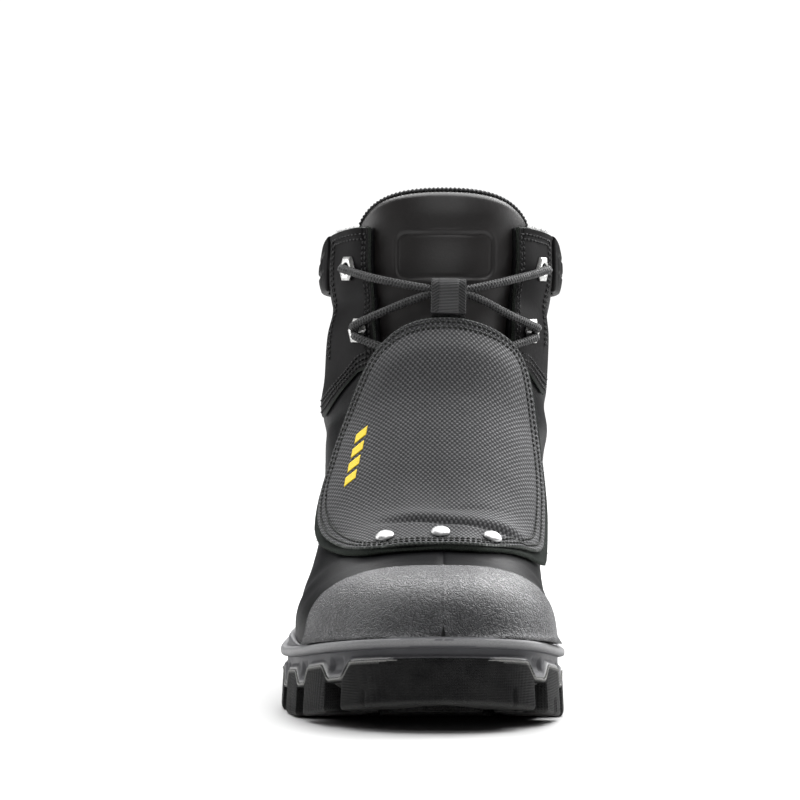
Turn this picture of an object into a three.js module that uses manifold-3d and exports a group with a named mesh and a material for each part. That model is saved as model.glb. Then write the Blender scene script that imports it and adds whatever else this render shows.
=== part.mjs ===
// Metatarsal guard boot for the right foot, standing on its sole.
// Millimetres, +Z up, toe towards -Y, inner (medial) side of the foot towards +X.
import * as THREE from "three";
import Module from "manifold-3d";

const wasm = await Module();
wasm.setup();

// Driving sizes of the sole
const SOLE_LENGTH = 306;
const BALL_WIDTH = 117;
const HEEL_WIDTH = 84;
const TOE_SPRING = 12;
const ARCH_HEIGHT = 6;
const BALL_STACK = 14;
const HEEL_STACK = 28;
const OUTSOLE_BASE = 9;
const TREAD_DEPTH = 5;
const LEDGE_RISE = 12;
const LEDGE_THICK = 3.6;
const LEDGE_LIP = 2.4;
const LEDGE_SHELF = 7;
const LUG_LENGTH = 23;
const LUG_GAP = 13;
const NOTCH_DEPTH = 9;
const TOE_BLOCK_LATERAL = 45;
const TOE_BLOCK_MEDIAL = 41;
const HEEL_BLOCK_HALF = 34;
const SIDE_LUG = 22;
const CHANNEL = 6;
const WAVE_DEPTH = 6;

// Driving sizes of the upper and what is sewn to it
const COLLAR_HEIGHT = 200;
const SHAFT_WIDTH = 100;
const WALL = 2.6;
const GAP = 0.3;
const TOE_CAP_THICK = 2;
const OVERLAY_THICK = 1.6;
const EYESTAY_DROP = 63;
const EYESTAY_RISE = 18;
const EYESTAY_FALL = 46;
const COUNTER_HEIGHT = 62;
const COLLAR_PAD_THICK = 3;
const COLLAR_PAD_HEIGHT = 28;
const THROAT_WIDTH = 62;
const THROAT_LENGTH = 112;
const TONGUE_THICK = 7;
const TONGUE_RISE = 17;
const TONGUE_WIDTH = 78;
const INSOLE_THICK = 4;
const LASTING_MARGIN = 15;

// Driving sizes of the metatarsal flap, the lace and the metal
const GUARD_LENGTH = 130;
const GUARD_WIDTH = 96;
const GUARD_LIFT = 6.4;
const BACKING_THICK = 1.8;
const COVER_THICK = 2;
const GUARD_PAD = 2.2;
const RIVET_HEAD = 8;
const RIVET_SHANK = 3;
const EYELET_FLATS = 10.5;
const EYELET_BORE = 5;
const EYELET_BARREL = 6.6;
const EYELET_FLANGE = 1.2;
const LACE_DIAMETER = 3.5;
const TAB_WIDTH = 15;
const TAB_HEIGHT = 15;
const TAB_THICK = 1.5;

// Mesh density
const SECTIONS = 18;
const COLUMNS = 20;
const SOLE_ROWS = 27;
const GUARD_STEPS = 23;

// Sections of the last from the toe to above the collar. Each lies in a plane through
// a point of the front line (topY, topZ) and a point of the sole and heel line (lowY, lowZ).
// topY and lowY are shares of the sole length behind the toe, topZ and lowZ shares of the
// shaft's height above the ball and above the footbed, lateral and medial shares of girth.
// widest is how far up the section its widest point lies, crown and floor how square it is.
// Each row: topY, topZ, lowY, lowZ, girth, lateral, medial, widest, crown, floor.
const LAST = [
  [0.028, 0.178, 0.028, 0.068, BALL_WIDTH, 0.04, 0.04, 0.45, 2.2, 2.4],
  [0.033, 0.2, 0.032, 0.035, BALL_WIDTH, 0.125, 0.125, 0.42, 2.3, 2.8],
  [0.047, 0.222, 0.044, 0.012, BALL_WIDTH, 0.214, 0.21, 0.38, 2.5, 3.4],
  [0.073, 0.24, 0.069, 0, BALL_WIDTH, 0.303, 0.287, 0.34, 2.6, 4],
  [0.118, 0.252, 0.112, 0, BALL_WIDTH, 0.388, 0.347, 0.33, 2.7, 4.4],
  [0.18, 0.26, 0.172, 0, BALL_WIDTH, 0.457, 0.372, 0.33, 2.6, 4.6],
  [0.248, 0.27, 0.245, 0, BALL_WIDTH, 0.504, 0.384, 0.33, 2.4, 4.6],
  [0.31, 0.3, 0.328, 0, BALL_WIDTH, 0.523, 0.38, 0.33, 2.2, 4.4],
  [0.366, 0.345, 0.42, 0, BALL_WIDTH, 0.513, 0.368, 0.35, 2.1, 4],
  [0.418, 0.408, 0.522, 0, BALL_WIDTH, 0.487, 0.358, 0.38, 2.05, 3.5],
  [0.463, 0.488, 0.637, 0, BALL_WIDTH, 0.463, 0.354, 0.42, 2.05, 3],
  [0.5, 0.575, 0.758, 0, SHAFT_WIDTH, 0.527, 0.422, 0.46, 2.05, 2.7],
  [0.529, 0.666, 0.876, 0, SHAFT_WIDTH, 0.524, 0.43, 0.5, 2.1, 2.6],
  [0.55, 0.748, 0.951, 0.03, SHAFT_WIDTH, 0.524, 0.438, 0.52, 2.1, 2.5],
  [0.565, 0.817, 0.976, 0.13, SHAFT_WIDTH, 0.524, 0.45, 0.52, 2.15, 2.4],
  [0.575, 0.871, 0.976, 0.27, SHAFT_WIDTH, 0.52, 0.46, 0.52, 2.2, 2.3],
  [0.583, 0.925, 0.967, 0.41, SHAFT_WIDTH, 0.51, 0.468, 0.51, 2.25, 2.3],
  [0.59, 0.973, 0.953, 0.56, SHAFT_WIDTH, 0.5, 0.474, 0.5, 2.3, 2.3],
  [0.596, 1.022, 0.943, 0.71, SHAFT_WIDTH, 0.5, 0.478, 0.5, 2.3, 2.3],
  [0.603, 1.07, 0.943, 0.85, SHAFT_WIDTH, 0.502, 0.482, 0.5, 2.3, 2.3],
  [0.615, 1.18, 0.953, 1.08, SHAFT_WIDTH, 0.502, 0.482, 0.5, 2.3, 2.3],
].map(([topY, topZ, lowY, lowZ, girth, lateral, medial, widest, crown, floor]) => (
  { topY, topZ, lowY, lowZ, girth, lateral, medial, widest, crown, floor }
));

// Outline of the sole at its ledge: at is a share of the sole length behind the toe,
// lateral and medial are shares of girth to each side of the centre plane.
const OUTLINE = [
  { at: 0, girth: BALL_WIDTH, lateral: 0, medial: 0 },
  { at: 0.005, girth: BALL_WIDTH, lateral: 0.12, medial: 0.12 },
  { at: 0.02, girth: BALL_WIDTH, lateral: 0.231, medial: 0.226 },
  { at: 0.046, girth: BALL_WIDTH, lateral: 0.325, medial: 0.303 },
  { at: 0.088, girth: BALL_WIDTH, lateral: 0.41, medial: 0.359 },
  { at: 0.147, girth: BALL_WIDTH, lateral: 0.479, medial: 0.397 },
  { at: 0.222, girth: BALL_WIDTH, lateral: 0.534, medial: 0.42 },
  { at: 0.3, girth: BALL_WIDTH, lateral: 0.569, medial: 0.425 },
  { at: 0.376, girth: BALL_WIDTH, lateral: 0.577, medial: 0.41 },
  { at: 0.474, girth: BALL_WIDTH, lateral: 0.543, medial: 0.376 },
  { at: 0.572, girth: BALL_WIDTH, lateral: 0.47, medial: 0.338 },
  { at: 0.67, girth: HEEL_WIDTH, lateral: 0.571, medial: 0.458 },
  { at: 0.768, girth: HEEL_WIDTH, lateral: 0.536, medial: 0.464 },
  { at: 0.856, girth: HEEL_WIDTH, lateral: 0.518, medial: 0.47 },
  { at: 0.922, girth: HEEL_WIDTH, lateral: 0.452, medial: 0.423 },
  { at: 0.967, girth: HEEL_WIDTH, lateral: 0.327, medial: 0.31 },
  { at: 0.993, girth: HEEL_WIDTH, lateral: 0.155, medial: 0.149 },
  { at: 1, girth: HEEL_WIDTH, lateral: 0, medial: 0 },
];

// Outline of the metatarsal flap, laid out up the instep: up is a share of its length from
// its lowest line, lateral and medial are shares of its width to each side. The lower edge
// is raised at the middle.
const GUARD = [
  { up: 0.05, lateral: 0, medial: 0 },
  { up: 0.046, lateral: 0.12, medial: 0.07 },
  { up: 0.05, lateral: 0.25, medial: 0.13 },
  { up: 0.062, lateral: 0.34, medial: 0.19 },
  { up: 0.1, lateral: 0.41, medial: 0.27 },
  { up: 0.15, lateral: 0.455, medial: 0.345 },
  { up: 0.21, lateral: 0.494, medial: 0.405 },
  { up: 0.27, lateral: 0.525, medial: 0.435 },
  { up: 0.34, lateral: 0.548, medial: 0.445 },
  { up: 0.43, lateral: 0.56, medial: 0.45 },
  { up: 0.53, lateral: 0.55, medial: 0.452 },
  { up: 0.62, lateral: 0.518, medial: 0.445 },
  { up: 0.71, lateral: 0.481, medial: 0.434 },
  { up: 0.79, lateral: 0.434, medial: 0.42 },
  { up: 0.87, lateral: 0.378, medial: 0.403 },
  { up: 0.935, lateral: 0.317, medial: 0.38 },
  { up: 0.97, lateral: 0.25, medial: 0.35 },
  { up: 0.99, lateral: 0.185, medial: 0.31 },
  { up: 1, lateral: 0.11, medial: 0.24 },
  { up: 1.004, lateral: 0, medial: 0.08 },
];

const clamp = THREE.MathUtils.clamp;
const lerp = THREE.MathUtils.lerp;

// 0 below a, 1 above b, with a soft start and end between them.
function ease(value, a, b) {
  return THREE.MathUtils.smoothstep(value, a, b);
}

// A smooth curve through the numbers of a list, read at a place counted in list steps.
function through(values, place) {
  const last = values.length - 1;
  const i = clamp(Math.floor(place), 0, last - 1);
  const t = place - i;
  const before = values[Math.max(i - 1, 0)];
  const from = values[i];
  const to = values[i + 1];
  const after = values[Math.min(i + 2, last)];
  const slope = (to - before) / 2;
  const slopeAfter = (after - from) / 2;
  const bend = 3 * (to - from) - 2 * slope - slopeAfter;
  const twist = 2 * (from - to) + slope + slopeAfter;
  return from + t * (slope + t * (bend + t * twist));
}

// Heights along the sole, by the distance y behind the toe

const TOE_BREAK = 0.25 * SOLE_LENGTH;
const HEEL_BREAST = 0.695 * SOLE_LENGTH;
const ARCH_START = 0.56 * SOLE_LENGTH;

// The underside: toe spring, flat forefoot, arch, flat heel with a lifted back edge.
function ground(y) {
  const spring = TOE_SPRING * Math.max(0, 1 - y / TOE_BREAK) ** 1.7;
  const rise = ease(y, ARCH_START, ARCH_START + 0.07 * SOLE_LENGTH);
  const fall = ease(y, HEEL_BREAST - 0.025 * SOLE_LENGTH, HEEL_BREAST);
  const bevel = 3 * Math.max(0, (y - 0.95 * SOLE_LENGTH) / (0.05 * SOLE_LENGTH)) ** 2;
  return spring + ARCH_HEIGHT * rise * (1 - fall) + bevel;
}

// The bottom of the upper, where it sits in the midsole.
function bed(y) {
  const spring = TOE_SPRING * Math.max(0, 1 - y / (0.33 * SOLE_LENGTH)) ** 1.5;
  const lift = ease(y, 0.34 * SOLE_LENGTH, 0.82 * SOLE_LENGTH);
  return BALL_STACK + spring + (HEEL_STACK - BALL_STACK) * lift;
}

// The flat top of the outsole under the midsole.
function plate(y) {
  return ground(y) + OUTSOLE_BASE;
}

// The top of the ledge lip, and of the cup's rim behind the toe cap.
function ledge(y) {
  return bed(y) + LEDGE_RISE * (1 - 0.3 * ease(y, 0.5 * SOLE_LENGTH, SOLE_LENGTH));
}

function rim(y) {
  const behindCap = ease(y, 0.2 * SOLE_LENGTH, 0.33 * SOLE_LENGTH);
  const heel = ease(y, 0.5 * SOLE_LENGTH, 0.95 * SOLE_LENGTH);
  return ledge(y) + LEDGE_RISE * (0.05 + 0.3 * behindCap + 0.55 * heel);
}

// Solids from arrays of points and triangles

function solid(points, triangles) {
  const mesh = new wasm.Mesh({
    numProp: 3,
    vertProperties: new Float32Array(points.flat()),
    triVerts: new Uint32Array(triangles.flat()),
  });
  return new wasm.Manifold(mesh);
}

// A three.js geometry as a solid, its shared corners joined by their rounded places.
function solidOf(geometry, matrix) {
  const flat = geometry.index ? geometry.toNonIndexed() : geometry.clone();
  if (matrix) flat.applyMatrix4(matrix);
  const position = flat.getAttribute("position");
  const seen = new Map();
  const points = [];
  const corners = [];
  for (let i = 0; i < position.count; i++) {
    const point = [position.getX(i), position.getY(i), position.getZ(i)];
    const key = point.map((n) => Math.round(n * 1e4)).join();
    if (!seen.has(key)) {
      seen.set(key, points.length);
      points.push(point);
    }
    corners.push(seen.get(key));
  }
  const triangles = [];
  for (let i = 0; i < corners.length; i += 3) {
    const [a, b, c] = corners.slice(i, i + 3);
    if (a !== b && b !== c && c !== a) triangles.push([a, b, c]);
  }
  return solid(points, triangles);
}

function union(solids) {
  return solids.reduce((all, one) => all.add(one));
}

// The last: its sections, its skin and a solid at any distance from the skin

const SHAFT_RISE = COLLAR_HEIGHT - BALL_STACK;

function sectionAt(place) {
  const column = (pick) => through(LAST.map(pick), place);
  const lowY = column((row) => row.lowY * SOLE_LENGTH);
  return {
    topY: column((row) => row.topY * SOLE_LENGTH),
    topZ: column((row) => BALL_STACK + row.topZ * SHAFT_RISE),
    lowY,
    lowZ: bed(lowY) + column((row) => row.lowZ) * SHAFT_RISE,
    lateral: column((row) => row.lateral * row.girth),
    medial: column((row) => row.medial * row.girth),
    widest: column((row) => row.widest),
    crown: column((row) => row.crown),
    floor: column((row) => row.floor),
  };
}

// A point of the skin: turn is 0 on the front line, a quarter turn on the medial side.
function skin(section, turn) {
  const across = Math.sin(turn);
  const up = Math.cos(turn);
  const half = across < 0 ? section.lateral : section.medial;
  const power = 2 / (up > 0 ? section.crown : section.floor);
  const reach = Math.sign(up) * Math.abs(up) ** power;
  const span = up > 0 ? 1 - section.widest : section.widest;
  const share = section.widest + span * reach;
  return new THREE.Vector3(
    Math.sign(across) * half * Math.abs(across) ** power,
    lerp(section.lowY, section.topY, share),
    lerp(section.lowZ, section.topZ, share),
  );
}

const PLACES = Array.from({ length: SECTIONS + 1 }, (_, i) => (i / SECTIONS) * (LAST.length - 1));
const TURNS = Array.from({ length: COLUMNS }, (_, j) => (j / COLUMNS) * 2 * Math.PI);
const SKIN = PLACES.map((place) => TURNS.map((turn) => skin(sectionAt(place), turn)));

function skinNormal(i, j) {
  const along = SKIN[Math.min(i + 1, SECTIONS)][j].clone().sub(SKIN[Math.max(i - 1, 0)][j]);
  const after = SKIN[i][(j + 1) % COLUMNS];
  const around = after.clone().sub(SKIN[i][(j + COLUMNS - 1) % COLUMNS]);
  return around.cross(along).normalize();
}

// The closed form of the last, moved out from the skin by a distance in millimetres,
// which is a number or a function of the place along the last and the turn round it.
function form(distance) {
  const points = [];
  const offset = (i, j) => (typeof distance === "function" ? distance(PLACES[i], TURNS[j]) : distance);
  PLACES.forEach((_, i) => {
    TURNS.forEach((_, j) => {
      points.push(SKIN[i][j].clone().addScaledVector(skinNormal(i, j), offset(i, j)).toArray());
    });
  });
  const centre = (i, shift) => {
    const middle = SKIN[i][0].clone().add(SKIN[i][COLUMNS / 2]).multiplyScalar(0.5);
    return middle.add(shift).toArray();
  };
  points.push(centre(0, new THREE.Vector3(0, -offset(0, 0) - 0.8, 0)));
  points.push(centre(SECTIONS, new THREE.Vector3(0, 0, offset(SECTIONS, 0))));
  const toe = points.length - 2;
  const triangles = [];
  const at = (i, j) => i * COLUMNS + (j % COLUMNS);
  for (let j = 0; j < COLUMNS; j++) {
    triangles.push([toe, at(0, j + 1), at(0, j)]);
    triangles.push([toe + 1, at(SECTIONS, j), at(SECTIONS, j + 1)]);
    for (let i = 0; i < SECTIONS; i++) {
      triangles.push([at(i, j), at(i + 1, j + 1), at(i + 1, j)]);
      triangles.push([at(i, j), at(i, j + 1), at(i + 1, j + 1)]);
    }
  }
  return solid(points, triangles);
}

// The layer of material between two distances from the skin.
function layer(inner, outer) {
  return form(outer).subtract(form(inner));
}

// The sole: rings of its outline at several levels

function outlineRow(place) {
  return {
    y: through(OUTLINE.map((row) => row.at * SOLE_LENGTH), place),
    lateral: through(OUTLINE.map((row) => row.lateral * row.girth), place),
    medial: through(OUTLINE.map((row) => row.medial * row.girth), place),
  };
}

// The outline's points, counter-clockwise from the toe up the medial side, each with its
// outward direction and its distance along its own side from the toe.
function makeOutline() {
  const rows = [];
  for (let i = 0; i <= SOLE_ROWS; i++) {
    rows.push(outlineRow((i / SOLE_ROWS) * (OUTLINE.length - 1)));
  }
  const inside = rows.slice(1, -1);
  const ring = [
    { x: 0, y: rows[0].y },
    ...inside.map((row) => ({ x: row.medial, y: row.y })),
    { x: 0, y: rows[SOLE_ROWS].y },
    ...inside.map((row) => ({ x: -row.lateral, y: row.y })).reverse(),
  ];
  const count = ring.length;
  const step = (a, b) => Math.hypot(ring[a].x - ring[b].x, ring[a].y - ring[b].y);
  ring[0].side = 0;
  for (let i = 1; i <= SOLE_ROWS; i++) ring[i].side = ring[i - 1].side + step(i, i - 1);
  let back = 0;
  for (let i = count - 1; i > SOLE_ROWS; i--) {
    back += step(i, (i + 1) % count);
    ring[i].side = -back;
  }
  ring.forEach((point, i) => {
    const next = ring[(i + 1) % count];
    const before = ring[(i + count - 1) % count];
    const length = Math.hypot(next.x - before.x, next.y - before.y);
    point.outX = (next.y - before.y) / length;
    point.outY = -(next.x - before.x) / length;
  });
  return ring;
}

const RING = makeOutline();

// A solid of the outline: each level has a distance out from it and a height, both of
// which may be functions of the ring's point. A turned level's quads are split the other
// way, so that a body that sits on another has the same facets.
function soleBody(levels) {
  const points = [];
  const value = (rule, point) => (typeof rule === "function" ? rule(point) : rule);
  for (const level of levels) {
    for (const point of RING) {
      const out = value(level.out, point);
      const y = point.y + point.outY * out;
      points.push([point.x + point.outX * out, y, value(level.z, { ...point, y })]);
    }
  }
  const count = RING.length;
  const triangles = [];
  for (let k = 0; k + 1 < levels.length; k++) {
    for (let i = 0; i < count; i++) {
      const a = k * count + i;
      const b = k * count + ((i + 1) % count);
      if (levels[k].turned) triangles.push([a, b, a + count], [b, b + count, a + count]);
      else triangles.push([a, b, b + count], [a, b + count, a + count]);
    }
  }
  const cap = (start, up) => {
    const add = (...corners) => {
      const face = corners.map((corner) => start + corner);
      triangles.push(up ? face : face.reverse());
    };
    add(0, 1, count - 1);
    for (let i = 1; i + 1 < SOLE_ROWS; i++) {
      add(count - i, i, i + 1);
      add(count - i, i + 1, count - i - 1);
    }
    add(SOLE_ROWS - 1, SOLE_ROWS, SOLE_ROWS + 1);
  };
  cap(0, false);
  cap((levels.length - 1) * count, true);
  return solid(points, triangles);
}

// Places round the sole of the gaps between its lugs: the distance along a side from the toe
const MEDIAL_SIDE = RING[SOLE_ROWS].side;
const LATERAL_SIDE = -RING[SOLE_ROWS + 1].side + Math.hypot(
  RING[SOLE_ROWS + 1].x - RING[SOLE_ROWS].x,
  RING[SOLE_ROWS + 1].y - RING[SOLE_ROWS].y,
);

function gapPlaces(sideLength, toeBlock) {
  const pitch = LUG_LENGTH + LUG_GAP;
  const room = sideLength - toeBlock - HEEL_BLOCK_HALF - LUG_GAP;
  const lugs = Math.max(1, Math.round(room / pitch));
  const step = room / lugs;
  return Array.from({ length: lugs + 1 }, (_, i) => toeBlock + LUG_GAP / 2 + i * step);
}

const MEDIAL_GAPS = gapPlaces(MEDIAL_SIDE, TOE_BLOCK_MEDIAL);
const LATERAL_GAPS = gapPlaces(LATERAL_SIDE, TOE_BLOCK_LATERAL);

// How much of a gap there is at a place round the sole: 1 in a gap, 0 on a lug.
function gapShare(side) {
  const gaps = side < 0 ? LATERAL_GAPS : MEDIAL_GAPS;
  const nearest = Math.min(...gaps.map((gap) => Math.abs(Math.abs(side) - gap)));
  return 1 - ease(nearest, LUG_GAP * 0.3, LUG_GAP * 0.8);
}

// The wavy line where the outsole ends and the midsole begins: high on lugs and toe.
function edge(point) {
  const toe = ease(point.y, 0, 0.24 * SOLE_LENGTH);
  const high = lerp(ledge(point.y) - 2.3 * LEDGE_THICK, ledge(point.y) - 2.6 * LEDGE_THICK, toe);
  return high - WAVE_DEPTH * gapShare(point.side);
}

// The ring's point nearest to a distance along a side.
function ringAt(side) {
  const apart = (point) => Math.abs(point.side - side);
  return RING.reduce((best, point) => (apart(point) < apart(best) ? point : best));
}

// A block with its length along the ring at a place, reaching in by a depth.
function ringBlock(side, width, depth, top) {
  const point = ringAt(side);
  const outside = LEDGE_SHELF;
  const below = TREAD_DEPTH + 1;
  const height = top(point) + below;
  const box = new THREE.BoxGeometry(width, depth + outside, height);
  const turn = Math.atan2(point.outX, -point.outY);
  const place = new THREE.Matrix4().makeRotationZ(turn);
  const reach = (outside - depth) / 2;
  place.setPosition(point.x + point.outX * reach, point.y + point.outY * reach, height / 2 - below);
  return solidOf(box, place);
}

// Lugs across the middle of the tread, as swept-back bars.
function centreLugs() {
  const bars = [];
  const pitch = LUG_LENGTH + 0.6 * LUG_GAP;
  const count = Math.floor((0.88 * SOLE_LENGTH) / pitch);
  for (let i = 0; i < count; i++) {
    const y = 0.075 * SOLE_LENGTH + i * pitch;
    const bar = new THREE.Shape();
    const half = 0.3 * BALL_WIDTH;
    const sweep = 0.25 * LUG_LENGTH;
    bar.moveTo(-half, y + sweep);
    bar.lineTo(0, y);
    bar.lineTo(half, y + sweep);
    bar.lineTo(half, y + sweep + LUG_LENGTH * 0.62);
    bar.lineTo(0, y + LUG_LENGTH * 0.62);
    bar.lineTo(-half, y + sweep + LUG_LENGTH * 0.62);
    bar.closePath();
    const depth = 4 * OUTSOLE_BASE;
    const place = new THREE.Matrix4().makeTranslation(0, 0, -depth / 2);
    bars.push(solidOf(new THREE.ExtrudeGeometry(bar, { depth, bevelEnabled: false }), place));
  }
  return union(bars);
}

function makeOutsole() {
  const body = soleBody([
    { out: -1.5, z: (point) => ground(point.y) },
    { out: -0.4, z: (point) => ground(point.y) + 2 },
    { out: -1.2, z: edge },
    { out: -9, z: (point) => plate(point.y) },
  ]);
  const middle = soleBody([
    { out: -SIDE_LUG, z: (point) => ground(point.y) - TREAD_DEPTH },
    { out: -SIDE_LUG, z: (point) => ground(point.y) + TREAD_DEPTH },
  ]).subtract(centreLugs().intersect(soleBody([
    { out: -SIDE_LUG - CHANNEL, z: (point) => ground(point.y) - TREAD_DEPTH - 1 },
    { out: -SIDE_LUG - CHANNEL, z: (point) => ground(point.y) + TREAD_DEPTH + 1 },
  ])));
  const cuts = [middle];
  const gaps = [...MEDIAL_GAPS, ...LATERAL_GAPS.map((gap) => -gap)];
  for (const gap of gaps) {
    cuts.push(ringBlock(gap, LUG_GAP * 0.8, NOTCH_DEPTH, (point) => edge({ ...point, side: gap }) - 1.5));
    cuts.push(ringBlock(gap, LUG_GAP * 0.6, SIDE_LUG + 3, (point) => ground(point.y) + TREAD_DEPTH));
  }
  return body.subtract(union(cuts));
}

function makeMidsole() {
  const body = soleBody([
    { out: -9, z: (point) => plate(point.y) + GAP, turned: true },
    { out: -1.2, z: (point) => edge(point) + GAP },
    { out: -LEDGE_LIP - 0.8, z: (point) => lerp(edge(point), ledge(point.y) - LEDGE_THICK, 0.4) },
    { out: -LEDGE_LIP, z: (point) => ledge(point.y) - LEDGE_THICK - 0.8 },
    { out: -0.5, z: (point) => ledge(point.y) - LEDGE_THICK },
    { out: 0, z: (point) => ledge(point.y) - LEDGE_THICK / 2 },
    { out: -0.8, z: (point) => ledge(point.y) - 0.3 },
    { out: -LEDGE_LIP, z: (point) => ledge(point.y) },
    { out: -LEDGE_LIP - 0.8, z: (point) => rim(point.y) },
  ]);
  return body.subtract(form(GAP));
}

// Cutting tools

// A slab of an outline in the side view (y, z), through the whole width.
function sidePrism(outline) {
  const shape = new THREE.Shape(outline.map(([y, z]) => new THREE.Vector2(y, z)));
  const depth = 3 * BALL_WIDTH;
  const place = new THREE.Matrix4().makeBasis(
    new THREE.Vector3(0, 1, 0),
    new THREE.Vector3(0, 0, 1),
    new THREE.Vector3(1, 0, 0),
  );
  place.setPosition(-depth / 2, 0, 0);
  return solidOf(new THREE.ExtrudeGeometry(shape, { depth, bevelEnabled: false, curveSegments: 8 }), place);
}

// A slab of a front-view shape (x, z) between two distances behind the toe.
function frontPrism(shape, from, to) {
  const place = new THREE.Matrix4().makeBasis(
    new THREE.Vector3(1, 0, 0),
    new THREE.Vector3(0, 0, 1),
    new THREE.Vector3(0, -1, 0),
  );
  place.setPosition(0, to, 0);
  const geometry = new THREE.ExtrudeGeometry(shape, {
    depth: to - from,
    bevelEnabled: false,
    curveSegments: 6,
  });
  return solidOf(geometry, place);
}

// Everything above the line of the collar.
const COLLAR_BACK = COLLAR_HEIGHT - 8;
const COLLAR_DIP = COLLAR_HEIGHT - 12;
const ABOVE_ALL = 1.3 * COLLAR_HEIGHT;
const BEHIND_HEEL = 1.1 * SOLE_LENGTH;

function aboveCollar() {
  return sidePrism([
    [0.4 * SOLE_LENGTH, COLLAR_HEIGHT],
    [0.64 * SOLE_LENGTH, COLLAR_HEIGHT],
    [0.7 * SOLE_LENGTH, lerp(COLLAR_HEIGHT, COLLAR_DIP, 0.25)],
    [0.8 * SOLE_LENGTH, COLLAR_DIP],
    [0.9 * SOLE_LENGTH, lerp(COLLAR_DIP, COLLAR_BACK, 0.25)],
    [0.97 * SOLE_LENGTH, COLLAR_BACK],
    [BEHIND_HEEL, COLLAR_BACK],
    [BEHIND_HEEL, ABOVE_ALL],
    [0.4 * SOLE_LENGTH, ABOVE_ALL],
  ]);
}

// The throat between the eyestays, round at its lower end.
const THROAT_BOTTOM = COLLAR_HEIGHT - THROAT_LENGTH;
const FRONT_START = 0.2 * SOLE_LENGTH;
const FRONT_DEPTH = 0.74 * SOLE_LENGTH;

function throat() {
  const half = THROAT_WIDTH / 2;
  const low = 0.42 * THROAT_WIDTH;
  const widest = COLLAR_HEIGHT - 15;
  const shape = new THREE.Shape();
  shape.moveTo(-half, ABOVE_ALL);
  shape.lineTo(-half, widest);
  shape.lineTo(-low, THROAT_BOTTOM + low);
  shape.absarc(0, THROAT_BOTTOM + low, low, Math.PI, 2 * Math.PI, false);
  shape.lineTo(half, widest);
  shape.lineTo(half, ABOVE_ALL);
  shape.closePath();
  return frontPrism(shape, FRONT_START, FRONT_DEPTH);
}

// The place on the front of the skin at x where a measure of the point reaches a value.
function skinPlace(x, value, measure) {
  const turnAt = (section) => {
    const half = x < 0 ? section.lateral : section.medial;
    return Math.sign(x) * Math.asin(Math.min(1, Math.abs(x) / half) ** (section.crown / 2));
  };
  let low = 4;
  let high = LAST.length - 1;
  for (let i = 0; i < 40; i++) {
    const middle = (low + high) / 2;
    const section = sectionAt(middle);
    if (measure(skin(section, turnAt(section))) < value) low = middle;
    else high = middle;
  }
  const section = sectionAt(low);
  const turn = turnAt(section);
  const small = 0.01;
  const point = skin(section, turn);
  const along = skin(sectionAt(low + small), turn).sub(skin(sectionAt(low - small), turn));
  const around = skin(section, turn + small).sub(skin(section, turn - small));
  return { point, along: along.normalize(), normal: around.cross(along).normalize() };
}

const heightOf = (point) => point.z;
const reachOf = (point) => point.y + point.z;

// A matrix that stands +Z along a direction at a point.
function standing(point, direction) {
  const turn = new THREE.Quaternion().setFromUnitVectors(new THREE.Vector3(0, 0, 1), direction);
  return new THREE.Matrix4().compose(point, turn, new THREE.Vector3(1, 1, 1));
}

// Eyelets: where each stands, its hole, and the ring itself
const EYELETS = [
  { name: "eyelet_lateral_top", x: -0.4 * SHAFT_WIDTH, z: COLLAR_HEIGHT - 18 },
  { name: "eyelet_lateral_low", x: -0.355 * SHAFT_WIDTH, z: COLLAR_HEIGHT - 45 },
  { name: "eyelet_medial_top", x: 0.41 * SHAFT_WIDTH, z: COLLAR_HEIGHT - 18 },
  { name: "eyelet_medial_low", x: 0.365 * SHAFT_WIDTH, z: COLLAR_HEIGHT - 45 },
].map((eyelet) => ({ ...eyelet, ...skinPlace(eyelet.x, eyelet.z, heightOf) }));

const EYELET_SEAT = GAP + OVERLAY_THICK + GAP;

function eyeletHole(eyelet) {
  const hole = new THREE.CylinderGeometry(EYELET_BARREL / 2 + GAP, EYELET_BARREL / 2 + GAP, 24, 10);
  hole.rotateX(Math.PI / 2);
  return solidOf(hole, standing(eyelet.point, eyelet.normal));
}

function makeEyelet(eyelet) {
  const inner = -WALL;
  const profile = [
    [EYELET_BORE / 2, inner],
    [EYELET_BARREL / 2, inner],
    [EYELET_BARREL / 2, EYELET_SEAT + 0.5],
    [EYELET_BORE / 2, EYELET_SEAT + 0.5],
    [EYELET_BORE / 2, inner],
  ].map(([r, z]) => new THREE.Vector2(r, z));
  const barrel = new THREE.LatheGeometry(profile, 8).rotateX(Math.PI / 2);
  const flange = new THREE.Shape();
  for (let i = 0; i < 6; i++) {
    const turn = (i * Math.PI) / 3;
    const radius = EYELET_FLATS / Math.sqrt(3);
    if (i) flange.lineTo(radius * Math.cos(turn), radius * Math.sin(turn));
    else flange.moveTo(radius, 0);
  }
  flange.closePath();
  const hole = new THREE.Path().absarc(0, 0, EYELET_BORE / 2 + 0.05, 0, 2 * Math.PI, true);
  flange.holes.push(hole);
  const plateRing = new THREE.ExtrudeGeometry(flange, {
    depth: EYELET_FLANGE,
    bevelEnabled: false,
    curveSegments: 4,
  });
  plateRing.translate(0, 0, EYELET_SEAT);
  const place = standing(eyelet.point, eyelet.normal);
  return solidOf(barrel, place).add(solidOf(plateRing, place));
}

// The upper: one hollow shell, open at collar, throat and underneath

function soleOpening(margin, low, high) {
  return soleBody([
    { out: -margin, z: (point) => bed(point.y) + low },
    { out: -margin, z: (point) => bed(point.y) + high },
  ]);
}

const OPENING_INSET = LEDGE_SHELF + LASTING_MARGIN;

function makeUpper() {
  return layer(-WALL, 0)
    .subtract(aboveCollar())
    .subtract(throat())
    .subtract(soleOpening(OPENING_INSET, -10, WALL + 4))
    .subtract(union(EYELETS.map(eyeletHole)));
}

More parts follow.
